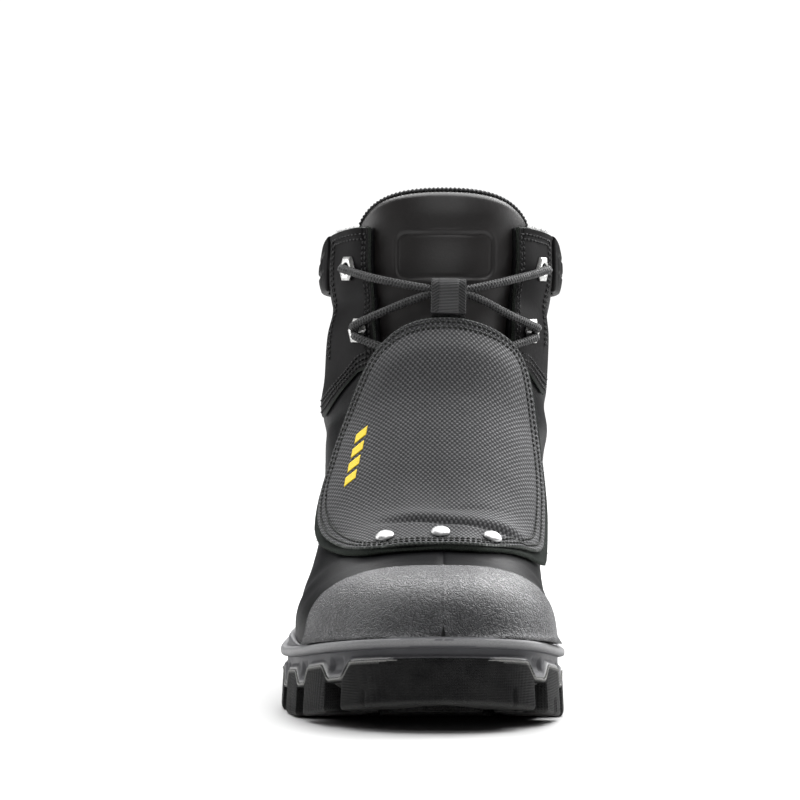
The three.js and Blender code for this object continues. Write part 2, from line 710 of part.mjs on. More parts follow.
function makeInsole() {
  const board = form(-WALL - GAP).intersect(
    soleBody([
      { out: 0, z: (point) => bed(point.y) - 2 },
      { out: 0, z: (point) => bed(point.y) + WALL + GAP + INSOLE_THICK },
    ]),
  );
  return board.add(soleOpening(OPENING_INSET + GAP, -2, WALL + GAP + 1).intersect(form(0)));
}

// The padded tongue, inside the throat's edges and above the collar
function makeTongue() {
  const depth = WALL + GAP + TONGUE_THICK;
  const body = layer((place) => (place < 6 ? -WALL - GAP - 1 : -depth), -WALL - GAP);
  const half = TONGUE_WIDTH / 2;
  const low = 0.32 * TONGUE_WIDTH;
  const top = COLLAR_HEIGHT + TONGUE_RISE;
  const shape = new THREE.Shape();
  shape.moveTo(-low, THROAT_BOTTOM + 6);
  shape.lineTo(low, THROAT_BOTTOM + 6);
  shape.lineTo(half, COLLAR_HEIGHT - 10);
  shape.lineTo(half, COLLAR_HEIGHT + 2);
  shape.bezierCurveTo(0.85 * half, top - 3, 0.5 * half, top, 0, top);
  shape.bezierCurveTo(-0.5 * half, top, -0.85 * half, top - 3, -half, COLLAR_HEIGHT + 2);
  shape.lineTo(-half, COLLAR_HEIGHT - 10);
  shape.closePath();
  return body.intersect(frontPrism(shape, FRONT_START, FRONT_DEPTH));
}

// What the midsole takes up, so that an overlay ends above its rim
function belowRim() {
  return soleBody([
    { out: 12, z: -10 },
    { out: 12, z: (point) => rim(point.y) + GAP },
  ]);
}

// The moulded cap, in front of a line that runs further back at its sides
function makeToeCap() {
  const front = 0.125 * SOLE_LENGTH;
  const back = 0.19 * SOLE_LENGTH;
  const half = 0.52 * BALL_WIDTH;
  const shape = new THREE.Shape();
  shape.moveTo(-BALL_WIDTH, -20);
  shape.lineTo(BALL_WIDTH, -20);
  shape.lineTo(BALL_WIDTH, back);
  shape.lineTo(half, back);
  shape.quadraticCurveTo(0.45 * half, front, 0, front);
  shape.quadraticCurveTo(-0.45 * half, front, -half, back);
  shape.lineTo(-BALL_WIDTH, back);
  shape.closePath();
  const prism = solidOf(new THREE.ExtrudeGeometry(shape, {
    depth: COLLAR_HEIGHT,
    bevelEnabled: false,
    curveSegments: 5,
  }));
  return layer(GAP, GAP + TOE_CAP_THICK).intersect(prism).subtract(belowRim());
}

function makeHeelCounter() {
  const top = HEEL_STACK + COUNTER_HEIGHT + 15;
  const prism = sidePrism([
    [0.745 * SOLE_LENGTH, 0],
    [BEHIND_HEEL, 0],
    [BEHIND_HEEL, top],
    [0.9 * SOLE_LENGTH, top - 0.08 * COUNTER_HEIGHT],
    [0.81 * SOLE_LENGTH, top - 0.28 * COUNTER_HEIGHT],
    [0.755 * SOLE_LENGTH, top - 0.6 * COUNTER_HEIGHT],
  ]);
  return layer(GAP, GAP + OVERLAY_THICK).intersect(prism).subtract(belowRim());
}

const PAD_FRONT = 0.71 * SOLE_LENGTH;

function makeCollarPad() {
  const low = COLLAR_HEIGHT - COLLAR_PAD_HEIGHT;
  const lowBack = low - (COLLAR_HEIGHT - COLLAR_BACK);
  const prism = sidePrism([
    [PAD_FRONT, low],
    [BEHIND_HEEL, lowBack],
    [BEHIND_HEEL, ABOVE_ALL],
    [PAD_FRONT, ABOVE_ALL],
  ]);
  return layer(GAP, GAP + COLLAR_PAD_THICK).intersect(prism).subtract(aboveCollar());
}

// The eyestay panel of one side: side is -1 lateral, 1 medial
function makeEyestay(side) {
  const low = COLLAR_HEIGHT - EYESTAY_DROP;
  const far = 0.7 * SHAFT_WIDTH;
  const shape = new THREE.Shape();
  shape.moveTo(0, low + EYESTAY_RISE);
  shape.lineTo(side * 0.36 * SHAFT_WIDTH, low);
  shape.lineTo(side * far, low - EYESTAY_FALL);
  shape.lineTo(side * far, ABOVE_ALL);
  shape.lineTo(0, ABOVE_ALL);
  shape.closePath();
  return layer(GAP, GAP + OVERLAY_THICK)
    .intersect(frontPrism(shape, FRONT_START, PAD_FRONT - GAP))
    .subtract(aboveCollar())
    .subtract(throat())
    .subtract(union(EYELETS.map(eyeletHole)));
}

// The metatarsal flap: leather backing and padded cover, cut to one outline

const GUARD_FOOT = new THREE.Vector3(0, 0.243 * SOLE_LENGTH, BALL_STACK + 0.28 * SHAFT_RISE);
const SLOPE = Math.PI / 4;

function guardPrism(inset) {
  const places = Array.from({ length: GUARD_STEPS + 1 }, (_, i) => (i / GUARD_STEPS) * (GUARD.length - 1));
  const column = (pick) => places.map((place) => through(GUARD.map(pick), place));
  const up = column((row) => row.up * GUARD_LENGTH);
  const lateral = column((row) => -row.lateral * GUARD_WIDTH);
  const medial = column((row) => row.medial * GUARD_WIDTH);
  const points = [
    ...up.map((y, i) => new THREE.Vector2(medial[i], y)),
    ...up.map((y, i) => new THREE.Vector2(lateral[i], y)).reverse().slice(0, -1),
  ];
  const centre = new THREE.Vector2(0, GUARD_LENGTH / 2);
  for (const point of points) {
    const reach = point.clone().sub(centre);
    point.addScaledVector(reach.normalize(), -inset);
  }
  const inwards = 0.53 * BALL_WIDTH;
  const place = new THREE.Matrix4().makeRotationX(SLOPE);
  place.setPosition(GUARD_FOOT);
  const geometry = new THREE.ExtrudeGeometry(new THREE.Shape(points), {
    depth: 2 * inwards,
    bevelEnabled: false,
  });
  return solidOf(geometry.translate(0, 0, -inwards), place);
}

// How far the flap's backing stands off the skin: on it at the rivets, clear of the lace above.
function guardLift(place) {
  const low = 0.7 * GUARD_LIFT * ease(place, 7.6, 10.5);
  return GAP + low + 0.3 * GUARD_LIFT * ease(place, 11, 12.5);
}

function coverLift(place, turn) {
  const along = ease(place, 7.8, 9.6) * (1 - ease(place, 12, 13.5));
  const across = Math.max(0, Math.cos(turn));
  const inner = guardLift(place) + BACKING_THICK + GAP;
  return inner + COVER_THICK + GUARD_PAD * along * across;
}

function makeGuardBacking() {
  const outer = (place) => guardLift(place) + BACKING_THICK;
  return layer(guardLift, outer).intersect(guardPrism(0)).subtract(union(RIVETS.map(rivetHole)));
}

function makeGuardCover() {
  const inner = (place) => guardLift(place) + BACKING_THICK + GAP;
  return layer(inner, coverLift).intersect(guardPrism(1.5)).subtract(union(RIVETS.map(rivetHole)));
}

// Rivets along the flap's lower edge
const RIVET_REACH = GUARD_FOOT.y + GUARD_FOOT.z;
const RIVETS = [
  { name: "rivet_lateral", x: -0.243 * GUARD_WIDTH, reach: RIVET_REACH + 22 },
  { name: "rivet_middle", x: -0.012 * GUARD_WIDTH, reach: RIVET_REACH + 23 },
  { name: "rivet_medial", x: 0.197 * GUARD_WIDTH, reach: RIVET_REACH + 22.7 },
].map((rivet) => ({ ...rivet, ...skinPlace(rivet.x, rivet.reach, reachOf) }));

const RIVET_SEAT = GAP + BACKING_THICK + GAP + COVER_THICK + GAP;

function rivetHole(rivet) {
  const hole = new THREE.CylinderGeometry(RIVET_SHANK / 2 + GAP, RIVET_SHANK / 2 + GAP, 40, 8);
  hole.rotateX(Math.PI / 2);
  return solidOf(hole, standing(rivet.point, rivet.normal));
}

function makeRivet(rivet) {
  const seat = RIVET_SEAT + 0.3;
  const half = RIVET_HEAD / 2;
  const profile = [
    [0, 2 * GAP],
    [RIVET_SHANK / 2, 2 * GAP],
    [RIVET_SHANK / 2, seat],
    [half, seat],
    [half * 0.7, seat + 0.4 * half],
    [0, seat + 0.55 * half],
  ].map(([r, z]) => new THREE.Vector2(r, z));
  const dome = new THREE.LatheGeometry(profile, 10).rotateX(Math.PI / 2);
  return solidOf(dome, standing(rivet.point, rivet.normal));
}

// The webbing loop at the top of the flap: its back leg lies behind the backing
const TAB_X = 0.017 * SHAFT_WIDTH;
const TAB_FOOT = skinPlace(TAB_X, COLLAR_HEIGHT - 39, heightOf);
const TAB_BACK = GUARD_LIFT - TAB_THICK - 5 * GAP;
const TAB_INSIDE = TAB_BACK + TAB_THICK;
const TAB_ROOM = LACE_DIAMETER + 5 * GAP;
const TAB_FRONT = TAB_INSIDE + TAB_ROOM;

function makePullTab() {
  const low = 0.8;
  const leg = -8;
  const outer = (TAB_ROOM + 2 * TAB_THICK) / 2;
  const inner = TAB_ROOM / 2;
  const middle = TAB_INSIDE + inner;
  const top = TAB_HEIGHT - outer;
  const shape = new THREE.Shape();
  shape.moveTo(TAB_BACK, leg);
  shape.lineTo(TAB_INSIDE, leg);
  shape.lineTo(TAB_INSIDE, top);
  shape.absarc(middle, top, inner, Math.PI, 0, true);
  shape.lineTo(TAB_FRONT, low);
  shape.lineTo(TAB_FRONT + TAB_THICK, low);
  shape.lineTo(TAB_FRONT + TAB_THICK, top);
  shape.absarc(middle, top, outer, 0, Math.PI, false);
  shape.closePath();
  const { point, along, normal } = TAB_FOOT;
  const across = new THREE.Vector3().crossVectors(normal, along).normalize();
  const place = new THREE.Matrix4().makeBasis(normal, along, across).setPosition(point);
  const geometry = new THREE.ExtrudeGeometry(shape, {
    depth: TAB_WIDTH,
    bevelEnabled: false,
    curveSegments: 5,
  });
  return solidOf(geometry.translate(0, 0, -TAB_WIDTH / 2), place);
}

// The lace: each stretch runs through points given by x, height and lift off the skin
const LACE_SEAT = EYELET_SEAT + EYELET_FLANGE + 2 * GAP + LACE_DIAMETER / 2;
const LACE_IN_TAB = TAB_INSIDE + TAB_ROOM / 2 + GAP;

function laceStretch(points) {
  const path = new THREE.CatmullRomCurve3(points.map(([x, z, lift]) => {
    const { point, normal } = skinPlace(x, z, heightOf);
    return point.clone().addScaledVector(normal, lift);
  }));
  const section = new THREE.Shape().absarc(0, 0, LACE_DIAMETER / 2, 0, 2 * Math.PI, false);
  return solidOf(new THREE.ExtrudeGeometry(section, {
    steps: 10,
    extrudePath: path,
    curveSegments: 4,
    bevelEnabled: false,
  }));
}

function laceAcross(side) {
  const [top, low] = side < 0 ? [EYELETS[0], EYELETS[3]] : [EYELETS[2], EYELETS[1]];
  const cross = COLLAR_HEIGHT - 30;
  return laceStretch([
    [top.x * 0.98, top.z - 0.5, LACE_SEAT],
    [side * 25, cross + 6.5, 6.6],
    [TAB_X + side * 8, cross + 1.5, LACE_IN_TAB],
    [TAB_X - side * 8, cross - 1.5, LACE_IN_TAB],
    [-side * 25, cross - 9, 6.4],
    [low.x * 0.98, low.z + 1.5, LACE_SEAT],
  ]);
}

function makeLaceCross() {
  return laceAcross(-1).add(laceAcross(1));
}

function makeLaceBar() {
  const [lateral, medial] = [EYELETS[1], EYELETS[3]];
  return laceStretch([
    [lateral.x * 0.96, lateral.z - 3, LACE_SEAT],
    [-28.5, lateral.z - 6, 4.4],
    [-19, lateral.z - 9, 1.5],
    [0, lateral.z - 12, 0.2],
    [19, medial.z - 9, 1.5],
    [28.5, medial.z - 6, 4.4],
    [medial.x * 0.96, medial.z - 3, LACE_SEAT],
  ]);
}

const group = new THREE.Group();

function addMesh(name, made, colour, roughness, metalness) {
  const data = made.getMesh();
  const geometry = new THREE.BufferGeometry();
  geometry.setAttribute("position", new THREE.BufferAttribute(new Float32Array(data.vertProperties), 3));
  geometry.setIndex(new THREE.BufferAttribute(new Uint32Array(data.triVerts), 1));
  const material = new THREE.MeshStandardMaterial({ color: colour, roughness, metalness });
  const mesh = new THREE.Mesh(geometry, material);
  mesh.name = name;
  group.add(mesh);
}

addMesh("outsole", makeOutsole(), 0x17171a, 0.75, 0);
addMesh("midsole", makeMidsole(), 0x303033, 0.7, 0);
addMesh("upper", makeUpper(), 0x141416, 0.45, 0);
addMesh("insole", makeInsole(), 0x2b2b2b, 0.9, 0);
addMesh("tongue", makeTongue(), 0x1a1818, 0.5, 0);
addMesh("toe_cap", makeToeCap(), 0x4a4a4c, 0.8, 0);
addMesh("heel_counter", makeHeelCounter(), 0x141416, 0.45, 0);
addMesh("collar_pad", makeCollarPad(), 0x161416, 0.5, 0);
addMesh("eyestay_lateral", makeEyestay(-1), 0x161416, 0.45, 0);
addMesh("eyestay_medial", makeEyestay(1), 0x161416, 0.45, 0);
addMesh("guard_backing", makeGuardBacking(), 0x20241f, 0.8, 0);
addMesh("guard_cover", makeGuardCover(), 0x2c2c2e, 0.7, 0);
addMesh("pull_tab", makePullTab(), 0x121212, 0.85, 0);
addMesh("lace_cross", makeLaceCross(), 0x0f0f10, 0.85, 0);
addMesh("lace_bar", makeLaceBar(), 0x0f0f10, 0.85, 0);
for (const rivet of RIVETS) addMesh(rivet.name, makeRivet(rivet), 0xb9bbbd, 0.35, 1);
for (const eyelet of EYELETS) addMesh(eyelet.name, makeEyelet(eyelet), 0xc4c6c8, 0.3, 1);

// The origin is under the middle of the boot's box, on the ground.
const box = new THREE.Box3().setFromObject(group);
const middle = box.getCenter(new THREE.Vector3());
group.position.set(-middle.x, -middle.y, -box.min.z);

export default group;
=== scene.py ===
import math

import bmesh
import bpy
import numpy as np
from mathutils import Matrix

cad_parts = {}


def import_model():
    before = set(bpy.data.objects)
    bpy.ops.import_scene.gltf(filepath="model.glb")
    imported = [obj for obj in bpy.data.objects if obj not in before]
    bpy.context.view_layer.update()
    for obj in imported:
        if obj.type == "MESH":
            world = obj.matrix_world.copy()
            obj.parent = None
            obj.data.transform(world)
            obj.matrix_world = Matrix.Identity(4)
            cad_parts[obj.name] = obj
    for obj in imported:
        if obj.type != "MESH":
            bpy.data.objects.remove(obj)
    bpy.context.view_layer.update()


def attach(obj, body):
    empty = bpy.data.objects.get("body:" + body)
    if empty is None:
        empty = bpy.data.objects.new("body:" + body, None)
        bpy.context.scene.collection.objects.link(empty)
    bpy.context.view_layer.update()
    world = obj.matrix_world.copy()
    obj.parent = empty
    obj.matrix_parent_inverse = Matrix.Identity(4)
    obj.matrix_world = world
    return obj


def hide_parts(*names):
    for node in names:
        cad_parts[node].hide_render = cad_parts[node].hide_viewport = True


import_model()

# Camera, as the boot was photographed: from in front of the toe, a little below the collar's
# height, in the boot's own centre plane. All sizes here and below are in millimetres, with
# x from the centre plane, y from the toe's tip and z from the floor.

SOLE_LENGTH = 306.0
CENTRE_X = 8.14
PICTURE = 800
CENTRE_COLUMN = 443.5
FOCAL_PIXELS = 4180.0
CAMERA_DISTANCE = 1628.0
CAMERA_HEIGHT = 178.0
CAMERA_PITCH = 0.0291


def metres(points):
    """Moves points from the toe's tip to the frame's origin and turns them into metres."""
    return (np.asarray(points, float) + (CENTRE_X, -SOLE_LENGTH / 2, 0)) / 1000


lens = bpy.data.cameras.new("camera")
lens.sensor_width = 36
lens.lens = FOCAL_PIXELS / PICTURE * lens.sensor_width
lens.clip_end = 20
camera = bpy.data.objects.new("camera", lens)
camera.location = metres((0, -CAMERA_DISTANCE, CAMERA_HEIGHT))
camera_yaw = math.atan((CENTRE_COLUMN - PICTURE / 2) / FOCAL_PIXELS)
camera.rotation_euler = (math.pi / 2 - CAMERA_PITCH, 0, camera_yaw)
bpy.context.collection.objects.link(camera)
bpy.context.scene.camera = camera
bpy.context.scene.view_settings.view_transform = "Standard"

# Floor and light: a plain floor lit to white by a broad light overhead, with two upright strips
# beside the heel, one high behind it and a weak one in front. The world is white behind the
# boot, as the photo's backdrop is, and dim elsewhere, so that black leather stays black.

FLOOR_SIZE = 12.0
FLOOR_COLOUR = (0.41, 0.41, 0.41, 1)
WORLD_DIM = 0.07
WORLD_WHITE = 1.1
OVERHEAD = 8.4
OVERHEAD_SPREAD = 86.0
OVERHEAD_TILT = (-0.36, 0.2, 0)


def new_material(name, colour, roughness):
    """A node material with a plain Principled shader: returns it, its tree and the shader."""
    material = bpy.data.materials.new(name)
    material.use_nodes = True
    tree = material.node_tree
    shader = tree.nodes["Principled BSDF"]
    shader.inputs["Base Color"].default_value = (*colour[:3], 1)
    shader.inputs["Roughness"].default_value = roughness
    return material, tree, shader


floor_mesh = bpy.data.meshes.new("floor")
half = FLOOR_SIZE / 2
floor_corners = [(-half, -half, 0), (half, -half, 0), (half, half, 0), (-half, half, 0)]
floor_mesh.from_pydata(floor_corners, [], [(0, 1, 2, 3)])
floor = bpy.data.objects.new("floor", floor_mesh)
bpy.context.collection.objects.link(floor)
floor_mesh.materials.append(new_material("floor", FLOOR_COLOUR, 0.8)[0])

world = bpy.data.worlds.new("studio")
world.use_nodes = True
sky = world.node_tree
sky_side = sky.nodes.new("ShaderNodeTexCoord")
sky_split = sky.nodes.new("ShaderNodeSeparateXYZ")
sky_level = sky.nodes.new("ShaderNodeMapRange")
sky_level.interpolation_type = "SMOOTHSTEP"
for socket, value in ((1, 0.965), (2, 0.99), (3, WORLD_DIM), (4, WORLD_WHITE)):
    sky_level.inputs[socket].default_value = value
sky.links.new(sky_side.outputs["Generated"], sky_split.inputs[0])
sky.links.new(sky_split.outputs["Y"], sky_level.inputs[0])
sky.links.new(sky_level.outputs[0], sky.nodes["Background"].inputs["Strength"])
sky.nodes["Background"].inputs["Color"].default_value = (1, 1, 1, 1)
bpy.context.scene.world = world

overhead = bpy.data.lights.new("light_overhead", "SUN")
overhead.energy = OVERHEAD
overhead.angle = math.radians(OVERHEAD_SPREAD)
overhead_place = bpy.data.objects.new("light_overhead", overhead)
overhead_place.rotation_euler = OVERHEAD_TILT
bpy.context.collection.objects.link(overhead_place)

for name, place, aim, size, watts in (
    ("light_left", (-1.0, 0.35, 0.5), (0, 0, 0.08), (0.5, 1.1), 7),
    ("light_right", (0.9, 0.45, 0.7), (0, 0, 0.08), (0.5, 1.0), 13),
    ("light_back", (0.1, 1.5, 1.15), (0, 0, 0.12), (1.1, 0.5), 26),
    ("light_front", (0.1, -1.5, 1.5), (0, -0.05, 0.1), (0.9, 0.4), 6.5),
):
    lamp = bpy.data.lights.new(name, "AREA")
    lamp.shape = "RECTANGLE"
    lamp.size, lamp.size_y = size
    lamp.energy = watts
    light = bpy.data.objects.new(name, lamp)
    direction = np.subtract(aim, place)
    light.location = place
    light.rotation_euler = (
        math.acos(-direction[2] / np.linalg.norm(direction)),
        0,
        math.atan2(direction[1], direction[0]) - math.pi / 2,
    )
    bpy.context.collection.objects.link(light)

# Upper: one shell of black full-grain leather pulled over the last, open at the collar and at
# the throat. It is cut from hide 2.6 mm thick with its lining, and its lasting edge is turned
# in under the insole. The last is a row of sections, as in the part's own source.

BALL_WIDTH = 117.0
HEEL_WIDTH = 84.0
SHAFT_WIDTH = 100.0
COLLAR_HEIGHT = 200.0
BALL_STACK = 14.0
HEEL_STACK = 28.0
TOE_SPRING = 12.0
SHAFT_RISE = COLLAR_HEIGHT - BALL_STACK
WALL = 2.6
GAP = 0.3
THROAT_WIDTH = 62.0
THROAT_BOTTOM = 88.0

# front_y, front_z, low_y, low_z, girth, lateral, medial, widest, crown, floor: the first four
# are shares of the sole's length and of the shaft's rise, lateral and medial of the girth.
LAST = np.array([
    (0.028, 0.178, 0.028, 0.068, BALL_WIDTH, 0.04, 0.04, 0.45, 2.2, 2.4),
    (0.033, 0.2, 0.032, 0.035, BALL_WIDTH, 0.125, 0.125, 0.42, 2.3, 2.8),
    (0.047, 0.222, 0.044, 0.012, BALL_WIDTH, 0.214, 0.21, 0.38, 2.5, 3.4),
    (0.073, 0.24, 0.069, 0, BALL_WIDTH, 0.303, 0.287, 0.34, 2.6, 4),
    (0.118, 0.252, 0.112, 0, BALL_WIDTH, 0.388, 0.347, 0.33, 2.7, 4.4),
    (0.18, 0.26, 0.172, 0, BALL_WIDTH, 0.457, 0.372, 0.33, 2.6, 4.6),
    (0.248, 0.27, 0.245, 0, BALL_WIDTH, 0.504, 0.384, 0.33, 2.4, 4.6),
    (0.31, 0.3, 0.328, 0, BALL_WIDTH, 0.523, 0.38, 0.33, 2.2, 4.4),
    (0.366, 0.345, 0.42, 0, BALL_WIDTH, 0.513, 0.368, 0.35, 2.1, 4),
    (0.418, 0.408, 0.522, 0, BALL_WIDTH, 0.487, 0.358, 0.38, 2.05, 3.5),
    (0.463, 0.488, 0.637, 0, BALL_WIDTH, 0.463, 0.354, 0.42, 2.05, 3),
    (0.5, 0.575, 0.758, 0, SHAFT_WIDTH, 0.527, 0.422, 0.46, 2.05, 2.7),
    (0.529, 0.666, 0.876, 0, SHAFT_WIDTH, 0.524, 0.43, 0.5, 2.1, 2.6),
    (0.55, 0.748, 0.951, 0.03, SHAFT_WIDTH, 0.524, 0.438, 0.52, 2.1, 2.5),
    (0.565, 0.817, 0.976, 0.13, SHAFT_WIDTH, 0.524, 0.45, 0.52, 2.15, 2.4),
    (0.575, 0.871, 0.976, 0.27, SHAFT_WIDTH, 0.52, 0.46, 0.52, 2.2, 2.3),
    (0.583, 0.925, 0.967, 0.41, SHAFT_WIDTH, 0.51, 0.468, 0.51, 2.25, 2.3),
    (0.59, 0.973, 0.953, 0.56, SHAFT_WIDTH, 0.5, 0.474, 0.5, 2.3, 2.3),
    (0.596, 1.022, 0.943, 0.71, SHAFT_WIDTH, 0.5, 0.478, 0.5, 2.3, 2.3),
    (0.603, 1.07, 0.943, 0.85, SHAFT_WIDTH, 0.502, 0.482, 0.5, 2.3, 2.3),
    (0.615, 1.18, 0.953, 1.08, SHAFT_WIDTH, 0.502, 0.482, 0.5, 2.3, 2.3),
])
LAST_ROWS = len(LAST) - 1


def ease(value, start, end):
    """0 before start, 1 after end, and the smoothstep 3t^2 - 2t^3 of the share t between."""
    share = np.clip((value - start) / (end - start), 0, 1)
    return share * share * (3 - 2 * share)


def through(rows, place):
    """A Catmull-Rom curve through the rows of a table, read at a place counted in rows."""
    rows = np.asarray(rows, float)
    count = len(rows) - 1
    place = np.asarray(place, float)
    i = np.clip(np.floor(place).astype(int), 0, count - 1)
    t = (place - i)[..., None]
    before = rows[np.maximum(i - 1, 0)]
    start = rows[i]
    end = rows[i + 1]
    after = rows[np.minimum(i + 2, count)]
    slope = (end - before) / 2
    slope_after = (after - start) / 2
    bend = 3 * (end - start) - 2 * slope - slope_after
    return start + t * (slope + t * (bend + t * (2 * (start - end) + slope + slope_after)))


def bed(y):
    """Height of the upper's underside: toe spring falling to the ball, rising to the heel."""
    spring = TOE_SPRING * np.maximum(0, 1 - y / (0.33 * SOLE_LENGTH)) ** 1.5
    lift = ease(y, 0.34 * SOLE_LENGTH, 0.82 * SOLE_LENGTH)
    return BALL_STACK + spring + (HEEL_STACK - BALL_STACK) * lift


FINE_PLACES = np.linspace(0, LAST_ROWS, 1601)
FINE = through(LAST, FINE_PLACES)
FINE[:, 0] *= SOLE_LENGTH
FINE[:, 2] *= SOLE_LENGTH
FINE[:, 1] = BALL_STACK + FINE[:, 1] * SHAFT_RISE
FINE[:, 3] = bed(FINE[:, 2]) + FINE[:, 3] * SHAFT_RISE
FINE[:, 5] *= FINE[:, 4]
FINE[:, 6] *= FINE[:, 4]


def skin(place, turn):
    """The last's surface: superellipse arcs above and below each section's widest point,
    place counted along the sections and turn from the front line towards the medial side."""
    place, turn = np.broadcast_arrays(np.asarray(place, float), np.asarray(turn, float))
    front_y, front_z, low_y, low_z, _, lateral, medial, widest, crown, floor_ = (
        np.interp(place, FINE_PLACES, column) for column in FINE.T
    )
    across, up = np.sin(turn), np.cos(turn)
    power = 2 / np.where(up > 0, crown, floor_)
    x = np.sign(across) * np.where(across < 0, lateral, medial) * np.abs(across) ** power
    span = np.where(up > 0, 1 - widest, widest)
    share = widest + span * np.sign(up) * np.abs(up) ** power
    return np.stack([x, low_y + (front_y - low_y) * share, low_z + (front_z - low_z) * share], -1)


def skin_normal(place, turn):
    """Unit outward normal of the skin, from central differences across and along it."""
    low = np.clip(place - 0.04, 0, LAST_ROWS)
    high = np.clip(place + 0.04, 0, LAST_ROWS)
    along = skin(high, turn) - skin(low, turn)
    around = skin(place, turn + 0.02) - skin(place, turn - 0.02)
    normal = np.cross(around, along)
    return normal / np.maximum(np.linalg.norm(normal, axis=-1, keepdims=True), 1e-9)


def off_skin(place, turn, distance):
    """A point of the skin moved out along its normal by a distance."""
    place, turn = np.broadcast_arrays(np.asarray(place, float), np.asarray(turn, float))
    return skin(place, turn) + skin_normal(place, turn) * np.asarray(distance)[..., None]


def turn_at(place, x):
    """The turn at which a section's front half has a given x."""
    lateral, medial, crown = (np.interp(place, FINE_PLACES, FINE[:, k]) for k in (5, 6, 8))
    half = np.where(x < 0, lateral, medial)
    return np.sign(x) * np.arcsin(np.minimum(1, np.abs(x) / half) ** (crown / 2))


def place_where(x, value, measure):
    """Bisects for the place and turn on the front at x where measure(point) has a value."""
    x, value = np.broadcast_arrays(np.asarray(x, float), np.asarray(value, float))
    low = np.full(x.shape, 4.0)
    high = np.full(x.shape, float(LAST_ROWS))
    for _ in range(26):
        middle = (low + high) / 2
        below = measure(skin(middle, turn_at(middle, x))) < value
        low = np.where(below, middle, low)
        high = np.where(below, high, middle)
    return low, turn_at(low, x)


def height_of(point):
    return point[..., 2]


def make_object(name, vertices, faces, uv=None, smooth=True):
    """A mesh object from points in millimetres, quads or triangles as one array, and one
    UV pair per vertex, in millimetres."""
    mesh = bpy.data.meshes.new(name)
    faces = np.asarray(faces)
    count, sides = faces.shape
    mesh.vertices.add(len(vertices))
    mesh.vertices.foreach_set("co", metres(vertices).ravel())
    mesh.loops.add(count * sides)
    mesh.loops.foreach_set("vertex_index", faces.ravel())
    mesh.polygons.add(count)
    mesh.polygons.foreach_set("loop_start", np.arange(0, count * sides, sides))
    mesh.update(calc_edges=True)
    if uv is not None:
        layer = mesh.uv_layers.new(name="mm")
        layer.data.foreach_set("uv", np.asarray(uv, float)[faces.ravel()].ravel())
    mesh.polygons.foreach_set("use_smooth", np.full(count, smooth))
    mesh.validate()
    thing = bpy.data.objects.new(name, mesh)
    bpy.context.collection.objects.link(thing)
    return thing


def quads(rows, columns, start=0, round_=False):
    """The quads of a grid of rows by columns; a round grid joins its last column to its first."""
    index = start + np.arange(rows * columns).reshape(rows, columns)
    if round_:
        index = np.hstack([index, index[:, :1]])
    return np.stack([index[:-1, :-1], index[:-1, 1:], index[1:, 1:], index[1:, :-1]], -1).reshape(-1, 4)


def arc_lengths(points):
    """Distances along rows and columns of a grid of points, as one UV pair for each."""
    across = np.linalg.norm(np.diff(points, axis=1), axis=-1)
    along = np.linalg.norm(np.diff(points, axis=0), axis=-1)
    u = np.pad(np.cumsum(across, axis=1), ((0, 0), (1, 0)))
    v = np.pad(np.cumsum(along, axis=0), ((1, 0), (0, 0)))
    u = u - u[:, u.shape[1] // 2][:, None]
    return np.stack([u, v], -1)


def weld(thing, distance=1e-6):
    """Merges the points of a mesh that lie on each other, and drops the faces that are then
    left inside it, where two ends of a sheet meet."""
    work = bmesh.new()
    work.from_mesh(thing.data)
    bmesh.ops.remove_doubles(work, verts=work.verts, dist=distance)
    inside = [face for face in work.faces if sum(len(edge.link_faces) > 2 for edge in face.edges) > 1]
    bmesh.ops.delete(work, geom=inside, context="FACES")
    work.to_mesh(thing.data)
    work.free()


def rim_faces(rows, columns, start=0):
    """The quads between the edges of two grids of points that follow each other."""
    size = rows * columns
    index = start + np.arange(size).reshape(rows, columns)
    ring = np.concatenate([index[0, :], index[1:, -1], index[-1, -2::-1], index[-2:0:-1, 0]])
    after = np.roll(ring, -1)
    return np.stack([after, ring, ring + size, after + size], -1)


def closed_panel(name, outer, inner, uv=None, inner_slot=0):
    """A closed sheet from two grids of the same shape: both faces and the strip between.
    The grids are turned over if their faces would point inwards."""
    if uv is None:
        uv = arc_lengths(outer)
    facing = np.cross(outer[1:-1, 2:] - outer[1:-1, :-2], outer[2:, 1:-1] - outer[:-2, 1:-1])
    if (facing * (outer - inner)[1:-1, 1:-1]).sum() < 0:
        outer, inner, uv = outer[:, ::-1], inner[:, ::-1], uv[:, ::-1]
    rows, columns, _ = outer.shape
    top = quads(rows, columns)
    faces = np.concatenate([top, top[:, ::-1] + rows * columns, rim_faces(rows, columns)])
    vertices = np.concatenate([outer.reshape(-1, 3), inner.reshape(-1, 3)])
    flat = uv.reshape(-1, 2)
    thing = make_object(name, vertices, faces, np.concatenate([flat, flat]))
    slots = np.zeros(len(faces), int)
    slots[len(top) : 2 * len(top)] = inner_slot
    thing.data.polygons.foreach_set("material_index", slots)
    return thing


# Share of the thickness reached by each of the last columns and rows of a rounded edge.
ROUND_STEPS = np.array([0.0, 0.12, 0.35, 0.65, 1.0])
ROUND_RISE = np.sqrt(1 - (1 - ROUND_STEPS) ** 2)


def dense_ends(count, edge):
    """Numbers from 0 to 1 with extra ones near both ends, within the share edge of each."""
    middle = np.linspace(edge, 1 - edge, count)
    return np.concatenate([ROUND_STEPS[:-1] * edge, middle, 1 - ROUND_STEPS[-2::-1] * edge])


def edge_rise(count):
    """The share of full thickness at each of the numbers that dense_ends gives."""
    return np.concatenate([ROUND_RISE[:-1], np.ones(count), ROUND_RISE[-2::-1]])


